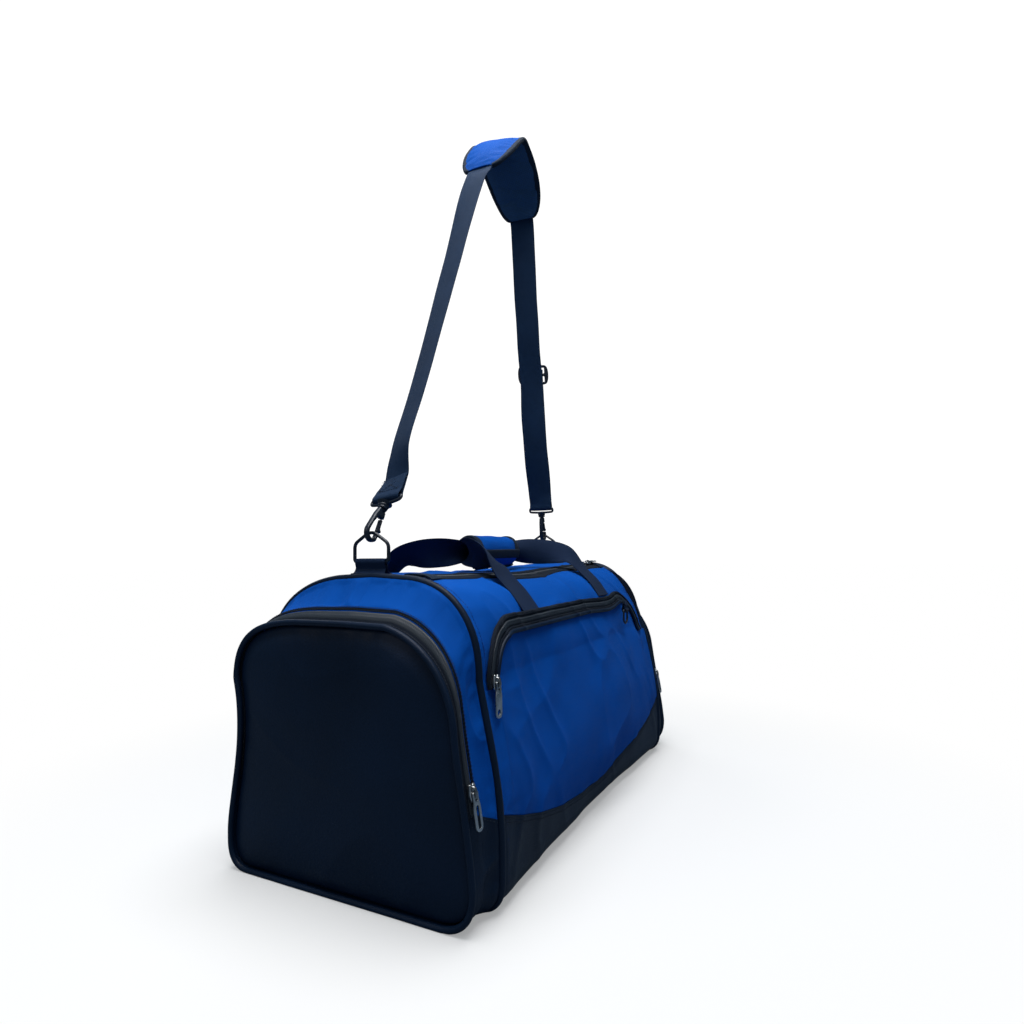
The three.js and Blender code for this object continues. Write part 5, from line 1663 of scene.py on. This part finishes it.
def add_pad_binding():
    """A tape folded round the pad's edge."""
    middle, _, _ = pad_grid(lambda u, v: -0.0008 + 0 * u + 0 * v, rows=160)
    rim = evenly(np.array([*middle[:, 0], *middle[-1, 1:], *middle[::-1, -1][1:]]), 420)
    rim[1:-1] = (rim[:-2] + rim[1:-1] + rim[2:]) / 3
    centre = middle[:, middle.shape[1] // 2]
    tangent = directions(rim, False)
    nearest = centre[np.argmin(np.linalg.norm(rim[:, None] - centre[None], axis=2), axis=1)]
    across = unit(nearest - rim)
    across = unit(across - tangent * np.sum(across * tangent, axis=1, keepdims=True))
    normal = np.cross(tangent, across)
    turn = 2 * math.pi * np.arange(14) / 14
    power = lambda value: np.sign(value) * np.abs(value) ** 0.6
    ring = power(np.cos(turn))[None, :, None] * across[:, None] * 0.0055
    ring = ring + power(np.sin(turn))[None, :, None] * normal[:, None] * 0.0036
    inward = rim + across * 0.0042
    shape = tube(inward, inward[:, None] + ring, False, 0.02)
    add("shoulder_pad_binding", shape.placed(STRAP), binding_weave, "webbing", "strap")


# Key ring

def add_key_ring():
    low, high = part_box("key_ring")
    top = high.z - 0.0015
    centre = Vector(((low.x + high.x) / 2, (low.y + high.y) / 2, top))
    path = [*reversed(arc((0, -0.0105), 0.0085, 180, 360, 20)), (-0.0085, -0.001), (-0.0075, 0.0),
            (0.0075, 0.0), (0.0085, -0.001)]
    line = closed_line(path, 90)
    points = np.stack([centre.x + line[:, 0], centre.y + 0 * line[:, 0], centre.z + line[:, 1]], 1)
    shape = cord(points, 0.0015, closed=True, across=(0, 1, 0), sides=12)
    add("key_ring_moulding", shape, black_plastic, "black_plastic", "key_ring", ("key_ring",))
    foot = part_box("key_ring_tab")[1].z
    turn = np.linspace(100, 350, 16) * DEGREE
    profile = [(0.0, foot - top), (-0.0014, foot - top - 0.006)]
    profile += [(0.0032 * math.cos(t), 0.0032 * math.sin(t)) for t in turn]
    profile += [(0.0032, 0.002), (0.0016, foot - top - 0.004)]
    stops = np.array([(centre.x, centre.y + a, centre.z + b) for a, b in profile])
    line, = curve_through(stops, 60)
    shape = ribbon(line, np.tile([1.0, 0, 0], (len(line), 1)), 0.0125, 0.0012)
    add("cloth_key_ring_tab", shape, handle_weave, "webbing", "root", ("key_ring_tab",))


# Stage, light and camera

CAMERA_PLACE = (-0.795, -0.435, 0.327)
CAMERA_LENS = 23.07
CAMERA_YAW = 27.434
CAMERA_PITCH = 3.202
CAMERA_ROLL = -0.772


def add_camera():
    data = bpy.data.cameras.new("camera")
    data.lens = CAMERA_LENS
    data.sensor_width = 36
    data.clip_start = 0.01
    camera = in_scene("camera", data)
    yaw, pitch, roll = CAMERA_YAW * DEGREE, CAMERA_PITCH * DEGREE, CAMERA_ROLL * DEGREE
    forward = Vector((math.cos(yaw) * math.cos(pitch), math.sin(yaw) * math.cos(pitch), math.sin(pitch)))
    right = Vector((math.sin(yaw), -math.cos(yaw), 0))
    up = right.cross(forward)
    x_axis = right * math.cos(roll) + up * math.sin(roll)
    y_axis = up * math.cos(roll) - right * math.sin(roll)
    matrix = Matrix((x_axis, y_axis, -forward)).transposed().to_4x4()
    matrix.translation = CAMERA_PLACE
    camera.matrix_world = matrix
    bpy.context.scene.camera = camera


def area_light(name, place, target, size, power):
    data = bpy.data.lights.new(name, "AREA")
    data.shape = "DISK"
    data.size = size
    data.energy = power
    light = in_scene(name, data)
    light.location = place
    light.rotation_mode = "QUATERNION"
    light.rotation_quaternion = (Vector(target) - Vector(place)).to_track_quat("-Z", "Y")


def add_light():
    area_light("top_softbox", (-0.15, -0.15, 2.3), (0, 0, 0.2), 1.8, 60)
    area_light("front_softbox", (-1.7, -1.9, 1.5), (0, 0, 0.25), 1.6, 2.6)
    area_light("near_end_softbox", (-2.2, 0.9, 1.7), (-0.2, 0, 0.2), 1.2, 6)
    area_light("back_softbox", (1.6, 2.2, 1.8), (0, 0, 0.2), 1.8, 9)
    world = bpy.data.worlds.new("studio")
    bpy.context.scene.world = world
    world.use_nodes = True
    nodes, links = world.node_tree.nodes, world.node_tree.links
    backdrop = nodes["Background"]
    backdrop.inputs["Color"].default_value = (1, 1, 1, 1)
    backdrop.inputs["Strength"].default_value = 1.1
    fill = nodes.new("ShaderNodeBackground")
    fill.inputs["Color"].default_value = (0.56, 0.80, 1, 1)
    fill.inputs["Strength"].default_value = 0.16
    path = nodes.new("ShaderNodeLightPath")
    mix = nodes.new("ShaderNodeMixShader")
    links.new(path.outputs["Is Camera Ray"], mix.inputs[0])
    links.new(fill.outputs[0], mix.inputs[1])
    links.new(backdrop.outputs[0], mix.inputs[2])
    links.new(mix.outputs[0], nodes["World Output"].inputs[0])
    bpy.context.scene.view_settings.view_transform = "Standard"


def add_floor():
    """A plain pale floor that fades into the white backdrop."""
    size, drop = 12, 0.0005
    mesh = bpy.data.meshes.new("floor")
    corners = [(x * size, y * size, -drop) for x, y in ((-1, -1), (1, -1), (1, 1), (-1, 1))]
    mesh.from_pydata(corners, [], [(0, 1, 2, 3)])
    floor = in_scene("floor", mesh)
    material = bpy.data.materials.new("floor")
    material.use_nodes = True
    nodes, links = material.node_tree.nodes, material.node_tree.links
    nodes["Principled BSDF"].inputs["Base Color"].default_value = (0.86, 0.86, 0.86, 1)
    nodes["Principled BSDF"].inputs["Roughness"].default_value = 0.9
    nodes["Principled BSDF"].inputs["Specular IOR Level"].default_value = 0.1
    glow = nodes.new("ShaderNodeEmission")
    place = nodes.new("ShaderNodeTexCoord")
    distance = nodes.new("ShaderNodeVectorMath")
    distance.operation = "LENGTH"
    fade = nodes.new("ShaderNodeMapRange")
    fade.interpolation_type = "SMOOTHSTEP"
    fade.inputs[1].default_value = 0.30
    fade.inputs[2].default_value = 0.80
    fade.inputs[3].default_value = 0.30
    mix = nodes.new("ShaderNodeMixShader")
    links.new(place.outputs["Object"], distance.inputs[0])
    links.new(distance.outputs["Value"], fade.inputs[0])
    links.new(fade.outputs[0], mix.inputs[0])
    links.new(nodes["Principled BSDF"].outputs[0], mix.inputs[1])
    links.new(glow.outputs[0], mix.inputs[2])
    path = nodes.new("ShaderNodeLightPath")
    dim = nodes.new("ShaderNodeBsdfDiffuse")
    dim.inputs["Color"].default_value = (0.15, 0.20, 0.26, 1)
    seen = nodes.new("ShaderNodeMixShader")
    links.new(path.outputs["Is Camera Ray"], seen.inputs[0])
    links.new(dim.outputs[0], seen.inputs[1])
    links.new(mix.outputs[0], seen.inputs[2])
    links.new(seen.outputs[0], nodes["Material Output"].inputs[0])
    mesh.materials.append(material)


def finish_cad_nodes():
    """The one CAD node that stays: the board inside the base."""
    board = frame["nodes"]["base_board"]
    board.data.materials.clear()
    board.data.materials.append(board_look)


add_main_compartment()
add_top_zip()
add_front_pocket()
for name, end in (("near", -1), ("far", 1)):
    add_end_pocket(name, end)
add_sliders()
for name in ("near", "far"):
    add_ring(name)
for name, side in (("front", -1), ("back", 1)):
    add_handle(name, side)
add_wrap()
add_strap()
add_pad()
add_key_ring()
add_stitching()
finish_cad_nodes()
add_camera()
add_light()
add_floor()
